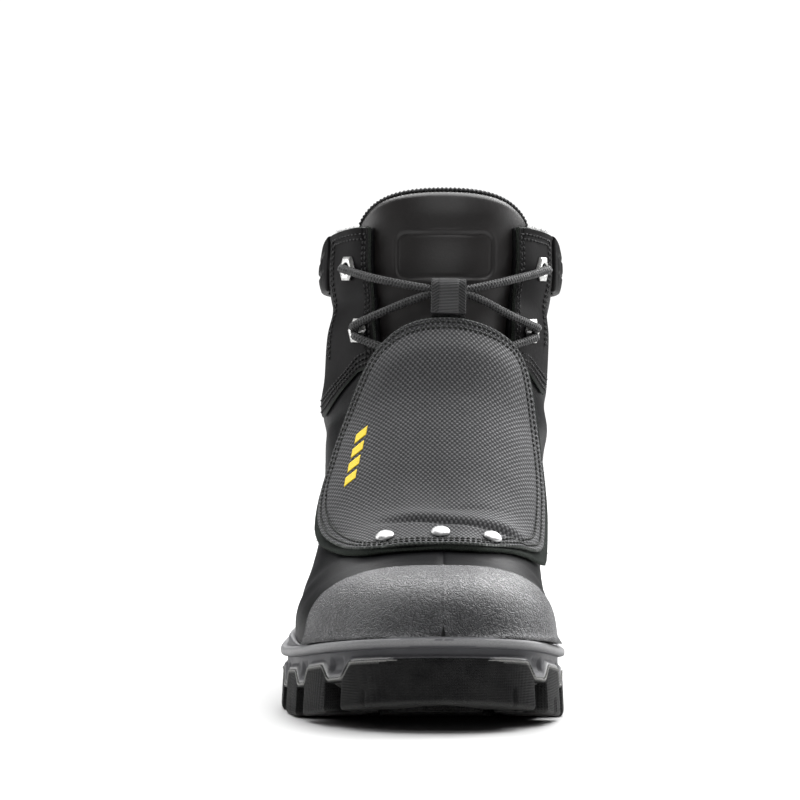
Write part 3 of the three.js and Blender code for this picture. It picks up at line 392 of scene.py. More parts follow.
class Nodes:
    """A short way to write a node tree: each call adds a node and returns its output."""

    def __init__(self, tree, shader):
        self.tree = tree
        self.shader = shader

    def add(self, kind, links=None, **settings):
        node = self.tree.nodes.new(kind)
        for key, value in settings.items():
            setattr(node, key, value)
        for key, value in (links or {}).items():
            self.feed(node.inputs[key], value)
        return node

    def feed(self, socket, value):
        if isinstance(value, bpy.types.NodeSocket):
            self.tree.links.new(value, socket)
        else:
            socket.default_value = value

    def maths(self, operation, a, b=0.0, c=0.0):
        node = self.add("ShaderNodeMath", {0: a, 1: b, 2: c}, operation=operation)
        return node.outputs[0]

    def mapping(self, source, scale, turn=0.0):
        node = self.add("ShaderNodeMapping", {"Vector": source, "Scale": scale, "Rotation": (0, 0, turn)})
        return node.outputs[0]

    def millimetres(self):
        place = self.add("ShaderNodeTexCoord").outputs["Object"]
        return self.mapping(place, (1000, 1000, 1000))

    def uv(self):
        return self.add("ShaderNodeUVMap", uv_map="mm").outputs[0]

    def noise(self, where, per_mm, detail=3.0, roughness=0.5):
        links = {"Vector": where, "Scale": per_mm, "Detail": detail, "Roughness": roughness}
        return self.add("ShaderNodeTexNoise", links).outputs[0]

    def cells(self, where, per_mm, feature="F1", spread=1.0):
        links = {"Vector": where, "Scale": per_mm, "Randomness": spread}
        return self.add("ShaderNodeTexVoronoi", links, feature=feature).outputs["Distance"]

    def levels(self, value, low, high, to_low=0.0, to_high=1.0):
        node = self.add("ShaderNodeMapRange", {0: value, 1: low, 2: high, 3: to_low, 4: to_high})
        return node.outputs[0]

    def mix(self, share, a, b):
        a, b = ((*k, 1) if isinstance(k, tuple) else k for k in (a, b))
        return self.add("ShaderNodeMix", {0: share, 6: a, 7: b}, data_type="RGBA").outputs[2]

    def bump(self, height, depth_mm, below=None):
        links = {"Height": height, "Distance": depth_mm / 1000, "Strength": 1.0}
        if below is not None:
            links["Normal"] = below
        return self.add("ShaderNodeBump", links).outputs[0]

    def surface(self, colour=None, roughness=None, normal=None):
        for key, value in (("Base Color", colour), ("Roughness", roughness), ("Normal", normal)):
            if value is not None:
                self.feed(self.shader.inputs[key], value)


def node_material(name, colour, roughness):
    """A new material, and the writer of its nodes."""
    material, tree, shader = new_material(name, colour, roughness)
    return material, Nodes(tree, shader)


def times(colour, factor):
    """A colour made darker or paler by a factor."""
    return tuple(factor * k for k in colour)


PALE_DUST = (0.03, 0.03, 0.03)
RAW_EDGE = (0.03, 0.036, 0.031)


def leather(name, colour, roughness, grain=0.05, dust=PALE_DUST, dusty=0.1, raw=RAW_EDGE, shine=0.05):
    """Pebbled full-grain leather: cells of 0.9 mm with fine pores, pale dust in broad
    patches, and the raw colour of the hide where the wear attribute marks a cut edge."""
    material, n = node_material(name, colour, roughness)
    where = n.millimetres()
    pebble = n.cells(where, 1.1, "SMOOTH_F1")
    pores = n.noise(where, 3.2, 4.0, 0.6)
    patches = n.noise(where, 0.035, 4.0, 0.6)
    height = n.maths("ADD", n.maths("MULTIPLY", pebble, 0.7), n.maths("MULTIPLY", pores, 0.5))
    shade = n.levels(patches, 0.45, 0.75, 0.0, dusty)
    cut = n.add("ShaderNodeAttribute", attribute_name="wear").outputs["Fac"]
    cut = n.maths("MULTIPLY", cut, n.levels(pores, 0.35, 0.6, 0.3, 1.0))
    gloss = n.maths("ADD", n.maths("MULTIPLY", patches, 0.6), n.maths("MULTIPLY", pores, 0.4))
    n.surface(
        n.mix(cut, n.mix(shade, colour, dust), raw),
        n.levels(gloss, 0.3, 0.7, roughness - 0.08, roughness + 0.12),
        n.bump(height, grain),
    )
    n.shader.inputs["Specular IOR Level"].default_value = shine
    return material


UPPER_LEATHER = leather("upper_leather", (0.0042, 0.0042, 0.0048), 0.47)


def throat_half(z):
    """Half the throat's width at a height: a half circle at its foot, then nearly straight."""
    low = 0.42 * THROAT_WIDTH
    rise = np.clip((z - THROAT_BOTTOM) / low, 0, 1)
    foot = low * np.sqrt(np.clip(1 - (1 - rise) ** 2, 0, 1))
    share = np.clip((z - THROAT_BOTTOM - low) / (COLLAR_HEIGHT - 15 - THROAT_BOTTOM - low), 0, 1)
    above = low + (THROAT_WIDTH / 2 - low) * share
    return np.where(z < THROAT_BOTTOM + low, foot, above)


def collar_line(y):
    """Height of the collar's edge in the side view: level in front, dipped at the sides."""
    stations = np.array([0.4, 0.64, 0.7, 0.8, 0.9, 0.97, 1.1]) * SOLE_LENGTH
    heights = COLLAR_HEIGHT - np.array([0, 0, 3, 12, 11, 8, 8])
    return np.interp(y, stations, heights)


def throat_turns(side):
    """Along the last, the turn at which the skin crosses the throat's edge on one side."""
    turn = np.zeros_like(FINE_PLACES)
    for _ in range(30):
        z = skin(FINE_PLACES, turn)[:, 2]
        aim = turn_at(FINE_PLACES, side * throat_half(z))
        turn = turn + 0.5 * (aim - turn)
    return np.where(FINE_PLACES < 6, 0, turn)


THROAT_TURNS = {side: throat_turns(side) for side in (-1, 1)}


def throat_turn(place, side):
    return np.interp(place, FINE_PLACES, THROAT_TURNS[side])


def bisect(low, high, below, steps=30):
    """Halves the ranges from low to high until below(value) changes from true to false."""
    for _ in range(steps):
        middle = (low + high) / 2
        under = below(middle)
        low = np.where(under, middle, low)
        high = np.where(under, high, middle)
    return (low + high) / 2


def place_under(low, high, turns, line):
    """The places between low and high at which the skin, read at turns(place), rises past
    the height line(point)."""

    def under(place):
        point = skin(place, turns(place))
        return point[..., 2] < line(point)

    return bisect(low, high, under)


def hill(x, middle, width):
    """A bell curve of height 1."""
    return np.exp(-(((x - middle) / width) ** 2))


def creases(points):
    """Height in mm that wear has given the leather at each point: a pinch under the collar,
    long slanting troughs at the ankle with a ridge on each side, and a broad low wave."""
    x, y, z = np.moveaxis(points, -1, 0)
    outer = ease(-x, 20, 42)
    inner = ease(x, 18, 40)
    slant = z + 0.22 * (y - 200)
    value = -1.8 * hill(slant, 167, 7) * (outer + 0.8 * inner)
    value += 0.8 * hill(slant, 183, 9) * (outer + 0.6 * inner)
    value += 1.3 * hill(slant, 126, 8) * outer - 0.8 * hill(slant, 116, 4) * outer
    value += 1.2 * hill(z + 0.1 * (y - 170), 116, 7) * inner - 0.9 * hill(slant, 129, 5) * inner
    value -= 0.8 * hill(slant + 0.1 * y, 96, 4) * inner
    flex = y + 0.55 * (z - 60)
    value += 0.35 * np.sin(flex / 4.6 + 0.8 * np.sin(x / 13)) * hill(flex, 96, 18) * ease(np.abs(x), 12, 40)
    return value


def worn(place, turn, distance):
    """A point off the skin, on the creased leather."""
    place, turn = np.broadcast_arrays(np.asarray(place, float), np.asarray(turn, float))
    return off_skin(place, turn, np.asarray(distance) + creases(skin(place, turn)))


def make_upper():
    """Columns run from the toe to the collar, spread round from one edge of the throat by
    the heel to the other edge; below the throat first and last column meet and are joined."""
    columns, rows = 170, 150
    across = np.linspace(0, 1, columns + 1)

    def turns(place):
        start = throat_turn(place, 1)
        end = 2 * np.pi + throat_turn(place, -1)
        return start + (end - start) * across

    low, high = np.full(columns + 1, 4.0), np.full(columns + 1, float(LAST_ROWS))
    top = place_under(low, high, turns, lambda point: collar_line(point[..., 1]))
    share = dense_ends(rows, 0.012)
    place = share[:, None] * top[None, :]
    turn = turns(place)
    rounded = np.minimum(1, (1 - share) / 0.012)[:, None]
    outer = worn(place, turn, -WALL / 2 * (1 - np.sqrt(1 - (1 - rounded) ** 2)))
    inner = worn(place, turn, -WALL + WALL / 2 * (1 - np.sqrt(1 - (1 - rounded) ** 2)))
    thing = closed_panel("upper_shell", outer, inner, inner_slot=1)
    weld(thing)
    return thing


def knitted(name, colour, roughness, pitch):
    """A cloth of small loops: cells of one pitch, with painted shade darkening the gaps between the loops,
    under loose fibres.
    """
    material, n = node_material(name, colour, roughness)
    where = n.millimetres()
    fibres = n.noise(where, 2.2, 4.0, 0.7)
    loops = n.cells(where, 1 / pitch, "F1", 0.35)
    # Painted shade: the colour falls to 0.45 of itself towards the cell edges, where the bump is lowest.
    n.surface(
        n.mix(n.levels(loops, 0.1, 0.7), colour, times(colour, 0.45)),
        roughness,
        n.bump(n.maths("ADD", fibres, n.maths("MULTIPLY", loops, -1.4)), 0.25),
    )
    n.shader.inputs["Sheen Weight"].default_value = 0.04
    n.shader.inputs["Specular IOR Level"].default_value = 0.3
    return material


LINING = knitted("lining", (0.02, 0.02, 0.021), 0.95, 1.1)

upper = make_upper()


def fit(thing, slot, materials, *nodes):
    """Gives a piece its materials and its body, and hides the model's parts it stands for; slot is not used.
    """
    for material in materials:
        thing.data.materials.append(material)
    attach(thing, "root")
    if nodes:
        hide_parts(*nodes)
    return thing


fit(upper, "upper_leather", [UPPER_LEATHER, LINING], "upper")

# Insole: a foam footbed with a brushed black cover, dropped in on the board that the upper is
# lasted to. It follows the inside of the last and is slightly cupped at the heel.

INSOLE_THICK = 4.0


def make_insole():
    """The underside of the last, 2.9 mm inside it, read up to 6.9 mm above the bed: rows
    along the foot, columns across; the top face is the same grid lifted by the thickness."""
    rows, columns = 80, 36
    place = np.linspace(0.9, 13.2, rows)[:, None]
    turn = np.linspace(0.62, 1.38, columns)[None, :] * np.pi
    inside = off_skin(place, turn, -WALL - GAP)
    floor_z = bed(inside[..., 1]) + WALL + GAP
    x, y = inside[..., 0], inside[..., 1]
    cup = 2.0 * ease(y, 200, 285) * np.abs(np.cos(np.linspace(0, np.pi, columns)))[None, :] ** 4
    top = np.stack([x, y, floor_z + INSOLE_THICK + cup], -1)
    bottom = np.stack([x, y, floor_z], -1)
    return closed_panel("insole_cover", top[:, ::-1], bottom[:, ::-1])


insole = make_insole()
fit(insole, "lining", [LINING], "insole")

# Midsole: a moulded rubber cup that the upper is cemented into. Its thin ledge stands out all
# round under a low rim; below it the wall is waved to meet the outsole, with a shallow
# moulded pocket above each gap between the lugs.

# at, girth, lateral, medial: at is a share of the sole's length, the others of the girth.
OUTLINE = np.array([
    (0, BALL_WIDTH, 0, 0),
    (0.005, BALL_WIDTH, 0.12, 0.12),
    (0.02, BALL_WIDTH, 0.231, 0.226),
    (0.046, BALL_WIDTH, 0.325, 0.303),
    (0.088, BALL_WIDTH, 0.41, 0.359),
    (0.147, BALL_WIDTH, 0.479, 0.397),
    (0.222, BALL_WIDTH, 0.534, 0.42),
    (0.3, BALL_WIDTH, 0.569, 0.425),
    (0.376, BALL_WIDTH, 0.577, 0.41),
    (0.474, BALL_WIDTH, 0.543, 0.376),
    (0.572, BALL_WIDTH, 0.47, 0.338),
    (0.67, HEEL_WIDTH, 0.571, 0.458),
    (0.768, HEEL_WIDTH, 0.536, 0.464),
    (0.856, HEEL_WIDTH, 0.518, 0.47),
    (0.922, HEEL_WIDTH, 0.452, 0.423),
    (0.967, HEEL_WIDTH, 0.327, 0.31),
    (0.993, HEEL_WIDTH, 0.155, 0.149),
    (1, HEEL_WIDTH, 0, 0),
])
SIDE_POINTS = 480
ARCH_HEIGHT = 6.0
OUTSOLE_BASE = 9.0
TREAD_DEPTH = 5.0
LEDGE_RISE = 12.0
LEDGE_THICK = 3.6
LUG_LENGTH = 23.0
LUG_GAP = 13.0
NOTCH_DEPTH = 9.0
WAVE_DEPTH = 6.0
HATCH_PITCH = 1.1
TOE_BLOCK = {-1: 45.0, 1: 41.0}
HEEL_BLOCK = 34.0


def ground(y):
    """The underside: toe spring, flat forefoot, raised arch, flat heel with a lifted back."""
    spring = TOE_SPRING * np.maximum(0, 1 - y / (0.25 * SOLE_LENGTH)) ** 1.7
    rise = ease(y, 0.56 * SOLE_LENGTH, 0.63 * SOLE_LENGTH)
    rise = rise * (1 - ease(y, 0.67 * SOLE_LENGTH, 0.695 * SOLE_LENGTH))
    bevel = 3 * np.maximum(0, (y - 0.95 * SOLE_LENGTH) / (0.05 * SOLE_LENGTH)) ** 2
    return spring + ARCH_HEIGHT * rise + bevel


def ledge(y):
    """Top of the ledge, 12 mm above the upper's underside at the toe and 8.4 at the heel."""
    return bed(y) + LEDGE_RISE * (1 - 0.3 * ease(y, 0.5 * SOLE_LENGTH, SOLE_LENGTH))


def rim(y):
    """Top of the cup behind the ledge: level with it at the toe, higher from the ball back."""
    behind_cap = ease(y, 0.2 * SOLE_LENGTH, 0.33 * SOLE_LENGTH)
    heel = ease(y, 0.5 * SOLE_LENGTH, 0.95 * SOLE_LENGTH)
    return ledge(y) + LEDGE_RISE * (0.05 + 0.3 * behind_cap + 0.55 * heel)


def outline_side(side):
    """Points evenly spaced along one side of the outline, with their distance from the toe."""
    rows = through(OUTLINE, np.linspace(0, len(OUTLINE) - 1, 4000))
    x = side * rows[:, 1] * np.maximum(0, rows[:, 2] if side < 0 else rows[:, 3])
    y = rows[:, 0] * SOLE_LENGTH
    run = np.concatenate([[0], np.cumsum(np.hypot(np.diff(x), np.diff(y)))])
    even = np.linspace(0, run[-1], SIDE_POINTS + 1)
    return np.interp(even, run, x), np.interp(even, run, y), even


def gap_places(side, length):
    room = length - TOE_BLOCK[side] - HEEL_BLOCK - LUG_GAP
    lugs = round(room / (LUG_LENGTH + LUG_GAP))
    return TOE_BLOCK[side] + LUG_GAP / 2 + np.arange(lugs + 1) * room / lugs


medial_x, medial_y, medial_run = outline_side(1)
lateral_x, lateral_y, lateral_run = outline_side(-1)
RING_X = np.concatenate([medial_x, lateral_x[-2:0:-1]])
RING_Y = np.concatenate([medial_y, lateral_y[-2:0:-1]])
RING_RUN = np.concatenate([medial_run, lateral_run[-2:0:-1]])
step_x = np.roll(RING_X, -2) - np.roll(RING_X, 2)
step_y = np.roll(RING_Y, -2) - np.roll(RING_Y, 2)
step_length = np.hypot(step_x, step_y)
RING_OUT = np.stack([step_y, -step_x], -1) / step_length[:, None]
GAPS = {1: gap_places(1, medial_run[-1]), -1: gap_places(-1, lateral_run[-1])}


def from_gap(run, side):
    """Distance along the outline from the middle of the nearest gap between two lugs."""
    return np.abs(run[..., None] - GAPS[side]).min(-1)


RING_GAP = np.concatenate([from_gap(medial_run, 1), from_gap(lateral_run[-2:0:-1], -1)])


def edge_height(y, gap_distance):
    """The wavy line between outsole and midsole: high on lugs and toe, 6 mm lower in a gap."""
    toe = ease(y, 0, 0.24 * SOLE_LENGTH)
    dip = 1 - ease(gap_distance, LUG_GAP * 0.3, LUG_GAP * 0.8)
    return ledge(y) - LEDGE_THICK * (2.3 + 0.3 * toe) - WAVE_DEPTH * dip


def ring_level(out, height):
    """The outline moved out by a distance, at a height that is a function of y and the gap."""
    x = RING_X + RING_OUT[:, 0] * out
    y = RING_Y + RING_OUT[:, 1] * out
    return np.stack([x, y, height(y, RING_GAP)], -1)


def along_wall(t, lift=0.3):
    """A level a share t of the way from the wavy line up to the underside of the ledge."""
    return lambda y, gap: (1 - t) * (edge_height(y, gap) + lift) + t * (ledge(y) - LEDGE_THICK - 0.5)


def off_ledge(drop):
    return lambda y, gap: ledge(y) - drop


def up_rim(t, drop=0.0):
    return lambda y, gap: ledge(y) + t * (rim(y) - ledge(y)) - drop


def across_cap(level, columns=60):
    """A grid from the medial to the lateral half of a ring level, row by row along the foot."""
    right = level[: SIDE_POINTS + 1]
    left = np.concatenate([level[:1], level[SIDE_POINTS:][::-1]])
    share = np.linspace(0, 1, columns + 1)[None, :, None]
    return right[:, None] * (1 - share) + left[:, None] * share


def closed_ring(name, levels, bottom, top):
    """A closed body: a wall of ring levels, a bottom grid and a top grid, joined at rings."""
    wall = np.stack(levels)
    rows, count, _ = wall.shape
    parts = [quads(rows, count, round_=True)]
    points = [wall.reshape(-1, 3)]
    run = np.concatenate([RING_RUN[: SIDE_POINTS + 1], -RING_RUN[SIDE_POINTS + 1 :]])
    uv = [np.stack([np.broadcast_to(run, (rows, count)), wall[..., 2]], -1).reshape(-1, 2)]
    start = rows * count
    for grid, order in ((bottom, 1), (top, -1)):
        parts.append(quads(*grid.shape[:2], start=start)[:, ::order])
        points.append(grid.reshape(-1, 3))
        uv.append(grid[..., :2].reshape(-1, 2))
        start += grid.shape[0] * grid.shape[1]
    thing = make_object(name, np.concatenate(points), np.concatenate(parts), np.concatenate(uv))
    weld(thing)
    return thing


def mark_wear(thing, values):
    """Stores how worn each point is, from 0 to 1, as the attribute that the material reads."""
    layer = thing.data.attributes.new("wear", "FLOAT", "POINT")
    layer.data.foreach_set("value", np.asarray(values, np.float32))


def set_wear(thing, rule):
    """Marks the wear that a rule gives for the points of a piece, in millimetres."""
    points = np.empty(len(thing.data.vertices) * 3)
    thing.data.vertices.foreach_get("co", points)
    points = points.reshape(-1, 3) * 1000 - (CENTRE_X, -SOLE_LENGTH / 2, 0)
    mark_wear(thing, np.clip(rule(points), 0, 1))


def nearest_ring(points):
    """For each point, its distance inside the outline and the gap distance of that place."""
    x, y = points[:, 0], points[:, 1]
    lateral = x < 0
    half = np.where(lateral, np.interp(y, lateral_y, -lateral_x), np.interp(y, medial_y, medial_x))
    run = np.where(lateral, np.interp(y, lateral_y, lateral_run), np.interp(y, medial_y, medial_run))
    gap = np.where(lateral, from_gap(run, -1), from_gap(run, 1))
    return half - np.abs(x), gap


# Rings of the ledge's round lip, as distance out and drop below its top, and rings up the rim
# behind it, as distance out, share of the rim's height and drop.
LEDGE_PROFILE = (
    (-2.4, 4.15), (-1.5, 3.95), (-0.8, 3.8), (-0.35, 3.45), (-0.1, 2.9), (0, 2.2),
    (0, 1.6), (-0.12, 1.0), (-0.45, 0.5), (-1.0, 0.18), (-1.8, 0.03), (-2.5, -0.02),
)
RIM_PROFILE = (
    (-2.95, 0.05, -0.05), (-3.15, 0.2, 0), (-3.25, 0.4, 0), (-3.3, 0.6, 0), (-3.4, 0.8, 0), (-3.6, 0.93, 0),
    (-4.0, 1, 0), (-4.8, 1, 0), (-6.2, 1, 0.4), (-7.6, 1, 1.4), (-8.6, 1, 3.0),
)


def make_midsole():
    """Ring levels of the wall with pockets pressed in above the gaps, then the ledge's round
    lip, the rim, and a tuck under the upper."""
    levels = [ring_level(-9, lambda y, gap: ground(y) + OUTSOLE_BASE + 0.3)]
    pocket = 1 - ease(RING_GAP, 3.6, 5.0)
    for t in (0, 0.06, 0.12, 0.2, 0.3, 0.4, 0.5, 0.6, 0.7, 0.78, 0.86, 0.93, 1.0):
        depth = 1.4 * pocket * ease(t, 0.12, 0.3) * (1 - ease(t, 0.6, 0.86))
        out = -1.2 - 1.7 * ease(t, 0, 0.5) - 0.35 * math.exp(-t / 0.05)
        levels.append(ring_level(out - depth, along_wall(t)))
    for out, drop in LEDGE_PROFILE:
        levels.append(ring_level(out, off_ledge(drop)))
    for out, t, drop in RIM_PROFILE:
        levels.append(ring_level(out, up_rim(t, drop)))
    levels.append(ring_level(-12, lambda y, gap: bed(y) - 0.2))
    return closed_ring("midsole_cup", levels, across_cap(levels[0], 8), across_cap(levels[-1], 8))


def rubber(name, colour, pale, roughness, speckle=0.06, hatch=0.0, shine=0.2):
    """Moulded rubber: fine matt grain, cloudy dust, and a paler tone where the wear
    attribute says that the floor or a hand has rubbed it. A hatch of a given depth is
    |sin(x + y)| times |sin(z)|, with its pitch as half a wave."""
    material, n = node_material(name, colour, roughness)
    where = n.millimetres()
    grain = n.noise(where, 2.4, 5.0, 0.65)
    cloud = n.noise(where, 0.05, 4.0, 0.6)
    wear = n.add("ShaderNodeAttribute", attribute_name="wear").outputs["Fac"]
    rubbed = n.maths("MULTIPLY", wear, n.levels(grain, 0.3, 0.6, 0.55, 1.0))
    dusty = n.mix(n.levels(cloud, 0.4, 0.75, 0.0, 0.06), colour, pale)
    x, y, z = n.add("ShaderNodeSeparateXYZ", {0: n.mapping(where, (math.pi / HATCH_PITCH,) * 3)}).outputs
    across = n.maths("ABSOLUTE", n.maths("SINE", n.maths("ADD", x, y)))
    grid = n.maths("MULTIPLY", n.maths("MULTIPLY", across, n.maths("ABSOLUTE", n.maths("SINE", z))), hatch)
    n.surface(
        n.mix(rubbed, dusty, pale),
        n.levels(cloud, 0.3, 0.7, roughness - 0.1, roughness + 0.1),
        n.bump(grid, 1.0, n.bump(grain, speckle)),
    )
    n.shader.inputs["Specular IOR Level"].default_value = shine
    return material


MIDSOLE_RUBBER = rubber("midsole_rubber", (0.062, 0.062, 0.067), (0.42, 0.42, 0.42), 0.5)
midsole = make_midsole()


def midsole_wear(points):
    """Rubbed along the ledge's lip and just above the wavy line."""
    y, z = points[:, 1], points[:, 2]
    inside, gap = nearest_ring(points)
    lip = hill(z - (ledge(y) - 1.9), 0, 1.5) * (inside < 1.6)
    line = hill(z - edge_height(y, gap) - 0.3, 0, 0.7) * (inside < 4)
    return 0.5 * lip + line


set_wear(midsole, midsole_wear)
fit(midsole, "midsole_rubber", [MIDSOLE_RUBBER], "midsole")

# Outsole: oil-resistant rubber moulded under the cup, with a long block round the toe, side
# lugs cut apart by deep notches, swept bars across the middle and a block under the heel.


def notch_share(gap, half, soft=0.45):
    """1 inside a notch of a half width, 0 outside, with a steep flank."""
    return 1 - ease(gap, half - soft, half + soft)


def tread(points):
    """How deep the tread is cut at each point of the underside: side grooves, the channel
    inside the lugs, the spaces between swept bars, and a narrow sipe across each lug."""
    x, y = points[..., 0], points[..., 1]
    inside, gap = nearest_ring(points.reshape(-1, 3))
    inside, gap = inside.reshape(x.shape), gap.reshape(x.shape)
    groove = notch_share(gap, 3.9) * (1 - ease(inside, 24.4, 25.6))
    middle = ease(inside, 21.5, 22.5)
    pitch = LUG_LENGTH + 0.6 * LUG_GAP
    swept = y - 0.075 * SOLE_LENGTH - 0.25 * LUG_LENGTH * np.abs(x) / (0.3 * BALL_WIDTH)
    along = np.mod(swept, pitch)
    bar = ease(along, -0.5, 0.5) * (1 - ease(along, 0.62 * LUG_LENGTH - 0.5, 0.62 * LUG_LENGTH + 0.5))
    bar = bar * ease(inside, 27.5, 28.5) * (swept > 0) * (y < 0.93 * SOLE_LENGTH)
    sipe = hill(np.mod(swept - 7, pitch), 0.5 * pitch, 0.7) * (1 - middle)
    return TREAD_DEPTH * np.maximum(groove, middle * (1 - bar)) + 1.2 * sipe * (1 - groove)


def make_outsole():
    """A wall of ring levels pressed in by the notches, over a grid of the underside."""
    levels = []

    def bottom(lift):
        return lambda y, gap: ground(y) + lift

    def wall_level(t):
        return lambda y, gap: (1 - t) * (ground(y) + 2) + t * (edge_height(y, gap) - 0.9)

    def cut(height):
        """The notch's depth at a height that is a function of y and the gap."""
        z = height(RING_Y, RING_GAP)
        top = edge_height(RING_Y, np.zeros_like(RING_GAP)) - 1.5
        sipe = 0.9 * hill(np.mod(np.abs(RING_GAP), 100), 18, 0.7) * (1 - ease(z - ground(RING_Y), 5, 8))
        return NOTCH_DEPTH * notch_share(RING_GAP, 5.2) * (1 - ease(z, top - 0.8, top + 0.2)) + sipe

    shape = [(-1.5, bottom(0)), (-0.95, bottom(0.25)), (-0.6, bottom(0.8)), (-0.4, bottom(1.5))]
    shape += [(-0.4 - 0.7 * t, wall_level(t)) for t in np.linspace(0, 1, 22)]
    shape += [
        (-0.95, lambda y, gap: edge_height(y, gap) - 0.7),
        (-0.75, lambda y, gap: edge_height(y, gap) - 0.45),
        (-0.8, lambda y, gap: edge_height(y, gap) - 0.15),
        (-1.1, edge_height),
    ]
    for out, height in shape:
        levels.append(ring_level(out - cut(height), height))
    levels.append(ring_level(-9, lambda y, gap: ground(y) + OUTSOLE_BASE))
    under = across_cap(levels[0], 60)
    under[..., 2] = ground(under[..., 1]) + tread(under)
    under[:, 0], under[:, -1] = across_cap(levels[0], 1)[:, 0], across_cap(levels[0], 1)[:, 1]
    return closed_ring("outsole_tread", levels, under, across_cap(levels[-1], 8))


OUTSOLE_RUBBER = rubber("outsole_rubber", (0.005, 0.005, 0.0054), (0.3, 0.3, 0.29), 0.7, 0.09, 0.25, 0.12)
outsole = make_outsole()


def outsole_wear(points):
    """Rubbed along the wavy line, and dusty where the tread meets the floor."""
    y, z = points[:, 1], points[:, 2]
    inside, gap = nearest_ring(points)
    line = hill(z - edge_height(y, gap) + 0.35, 0, 0.55) * (inside < 2.4)
    floor_dust = 0.15 * (1 - ease(z - ground(y), 0.3, 2.2))
    return line + floor_dust


set_wear(outsole, outsole_wear)
fit(outsole, "outsole_rubber", [OUTSOLE_RUBBER], "outsole")

# Toe cap: grey-black rubber moulded over the safety toe in two halves, so a thin flash line
# runs up its middle. Its skin has a fine leather-like grain, and its foot flares out over
# the ledge in a hollow curve.

TOE_CAP_THICK = 2.0


def cap_back(x):
    """Back edge of the cap in the top view: 38 mm behind the toe's tip at the middle, curving
    to 58 mm at the sides, as a quadratic curve."""
    t = np.linspace(0, 1, 200)
    half = 0.52 * BALL_WIDTH
    across = 0.9 * half * t * (1 - t) + half * t * t
    return np.interp(np.abs(x), across, (0.125 + 0.065 * t * t) * SOLE_LENGTH)


def turn_at_rim(place, side, above):
    """The turn on one side at which the skin comes down to a height above the cup's rim."""

    def higher(turn):
        point = skin(place, side * turn)
        return point[..., 2] > rim(point[..., 1]) + above

    return bisect(np.full(np.shape(place), 0.3 * np.pi), np.full(np.shape(place), np.pi - 0.002), higher)


def make_toe_cap():
    """Columns fan out from the tip of the toe, rows run back over it; thickness rounds off
    at the back edge, and a flare of 2.5 mm dies away above the rim."""
    columns, rows = 160, 110
    c = np.linspace(-1, 1, columns + 1)
    c = np.sign(c) * np.abs(c) ** 1.25
    stations = np.linspace(0, 8, 200)
    lowest = {side: turn_at_rim(stations, side, 0.1) for side in (-1, 1)}

    def turns(place):
        edge = np.where(c < 0, np.interp(place, stations, lowest[-1]), np.interp(place, stations, lowest[1]))
        return c * edge

    def ahead(place):
        point = skin(place, turns(place))
        return point[..., 1] < cap_back(point[..., 0])

    back = bisect(np.zeros(columns + 1), np.full(columns + 1, 8.0), ahead)
    share = np.linspace(0, 1, rows) ** 1.2
    share = np.concatenate([share[:-1] * 0.985, 1 - (1 - ROUND_STEPS) * 0.015])
    rise = np.interp(share, [0, 0.985, 1], [0, 0, 1])[:, None]
    round_off = 1 - np.sqrt(1 - np.minimum(0.999, rise) ** 2)
    place = share[:, None] * back[None, :]
    turn = turns(place)
    base = skin(place, turn)
    above = base[..., 2] - rim(base[..., 1])
    flare = 2.5 * np.exp(-np.maximum(0, above) / 1.9)
    lip = 0.45 * hill(rise, 0.35, 0.4)
    seam = 0.3 * hill(base[..., 0] - 0.2, 0, 0.4) * ease(above, 1.5, 6)
    outer = off_skin(place, turn, GAP + TOE_CAP_THICK * (1 - round_off) + flare + lip + seam)
    inner = off_skin(place, turn, np.full_like(place, GAP))
    grids = []
    for grid, bulge in ((outer, 1.0), (inner, 0.6)):
        centre = grid[0].mean(0)
        steps = np.array([0.02, 0.3, 0.6, 0.85])[:, None, None]
        nose = centre + (grid[0] - centre) * steps - np.array([0, bulge, 0]) * (1 - steps**2)
        grids.append(np.concatenate([nose, grid]))
    thing = closed_panel("toe_cap_rubber", *grids)
    weld(thing)
    return thing


def cap_rubber():
    """Satin rubber with a worm-like grain: noise folded about its middle value, with painted shade
    in the grooves and a paler tone in cloudy patches."""
    material, n = node_material("cap_rubber", (0.05, 0.05, 0.052), 0.5)
    where = n.millimetres()
    worms = n.maths("ABSOLUTE", n.maths("SUBTRACT", n.noise(where, 0.62, 2.0, 0.55), 0.5))
    fine = n.noise(where, 3.4, 3.0, 0.6)
    cloud = n.noise(where, 0.045, 3.0, 0.5)
    height = n.maths("ADD", n.levels(worms, 0.0, 0.1), n.maths("MULTIPLY", fine, 0.4))
    # Painted shade: this share drops to 0, the darkest colour, in the grooves of the grain; the cloud gives a
    # paler tone at random.
    pale = n.maths("MULTIPLY", n.levels(cloud, 0.3, 0.7, 0.4, 1.0), n.levels(worms, 0.0, 0.07))
    n.surface(
        n.mix(pale, (0.013, 0.013, 0.015), (0.07, 0.07, 0.074)),
        n.levels(cloud, 0.3, 0.7, 0.36, 0.48),
        n.bump(height, 0.34),
    )
    return material


fit(make_toe_cap(), "cap_rubber", [cap_rubber()], "toe_cap")

# Heel counter: a plain leather overlay stitched round the back of the heel, above the rim.

OVERLAY_THICK = 1.6


def overlay(name, place, turn, thick, rows, columns, puff=0.0):
    """A closed panel a gap above the creased skin, its thickness rounded off to a thin edge
    by the rises of its rows and columns, and puffed up by puff mm."""
    rise = np.minimum(edge_rise(rows)[:, None], edge_rise(columns)[None, :])
    half = thick / 2 * np.maximum(0.06, rise)
    middle = GAP + thick / 2
    outer = worn(place, turn, middle + half + puff)
    inner = worn(place, turn, middle - half)
    thing = closed_panel(name, outer, inner)
    edge = np.clip((1 - rise) / 0.6, 0, 1).ravel()
    mark_wear(thing, np.concatenate([edge, edge]))
    return thing


def counter_top(y):
    return np.interp(y, np.array([0.745, 0.755, 0.81, 0.9, 1.1]) * SOLE_LENGTH, [30, 68, 88, 100, 105])


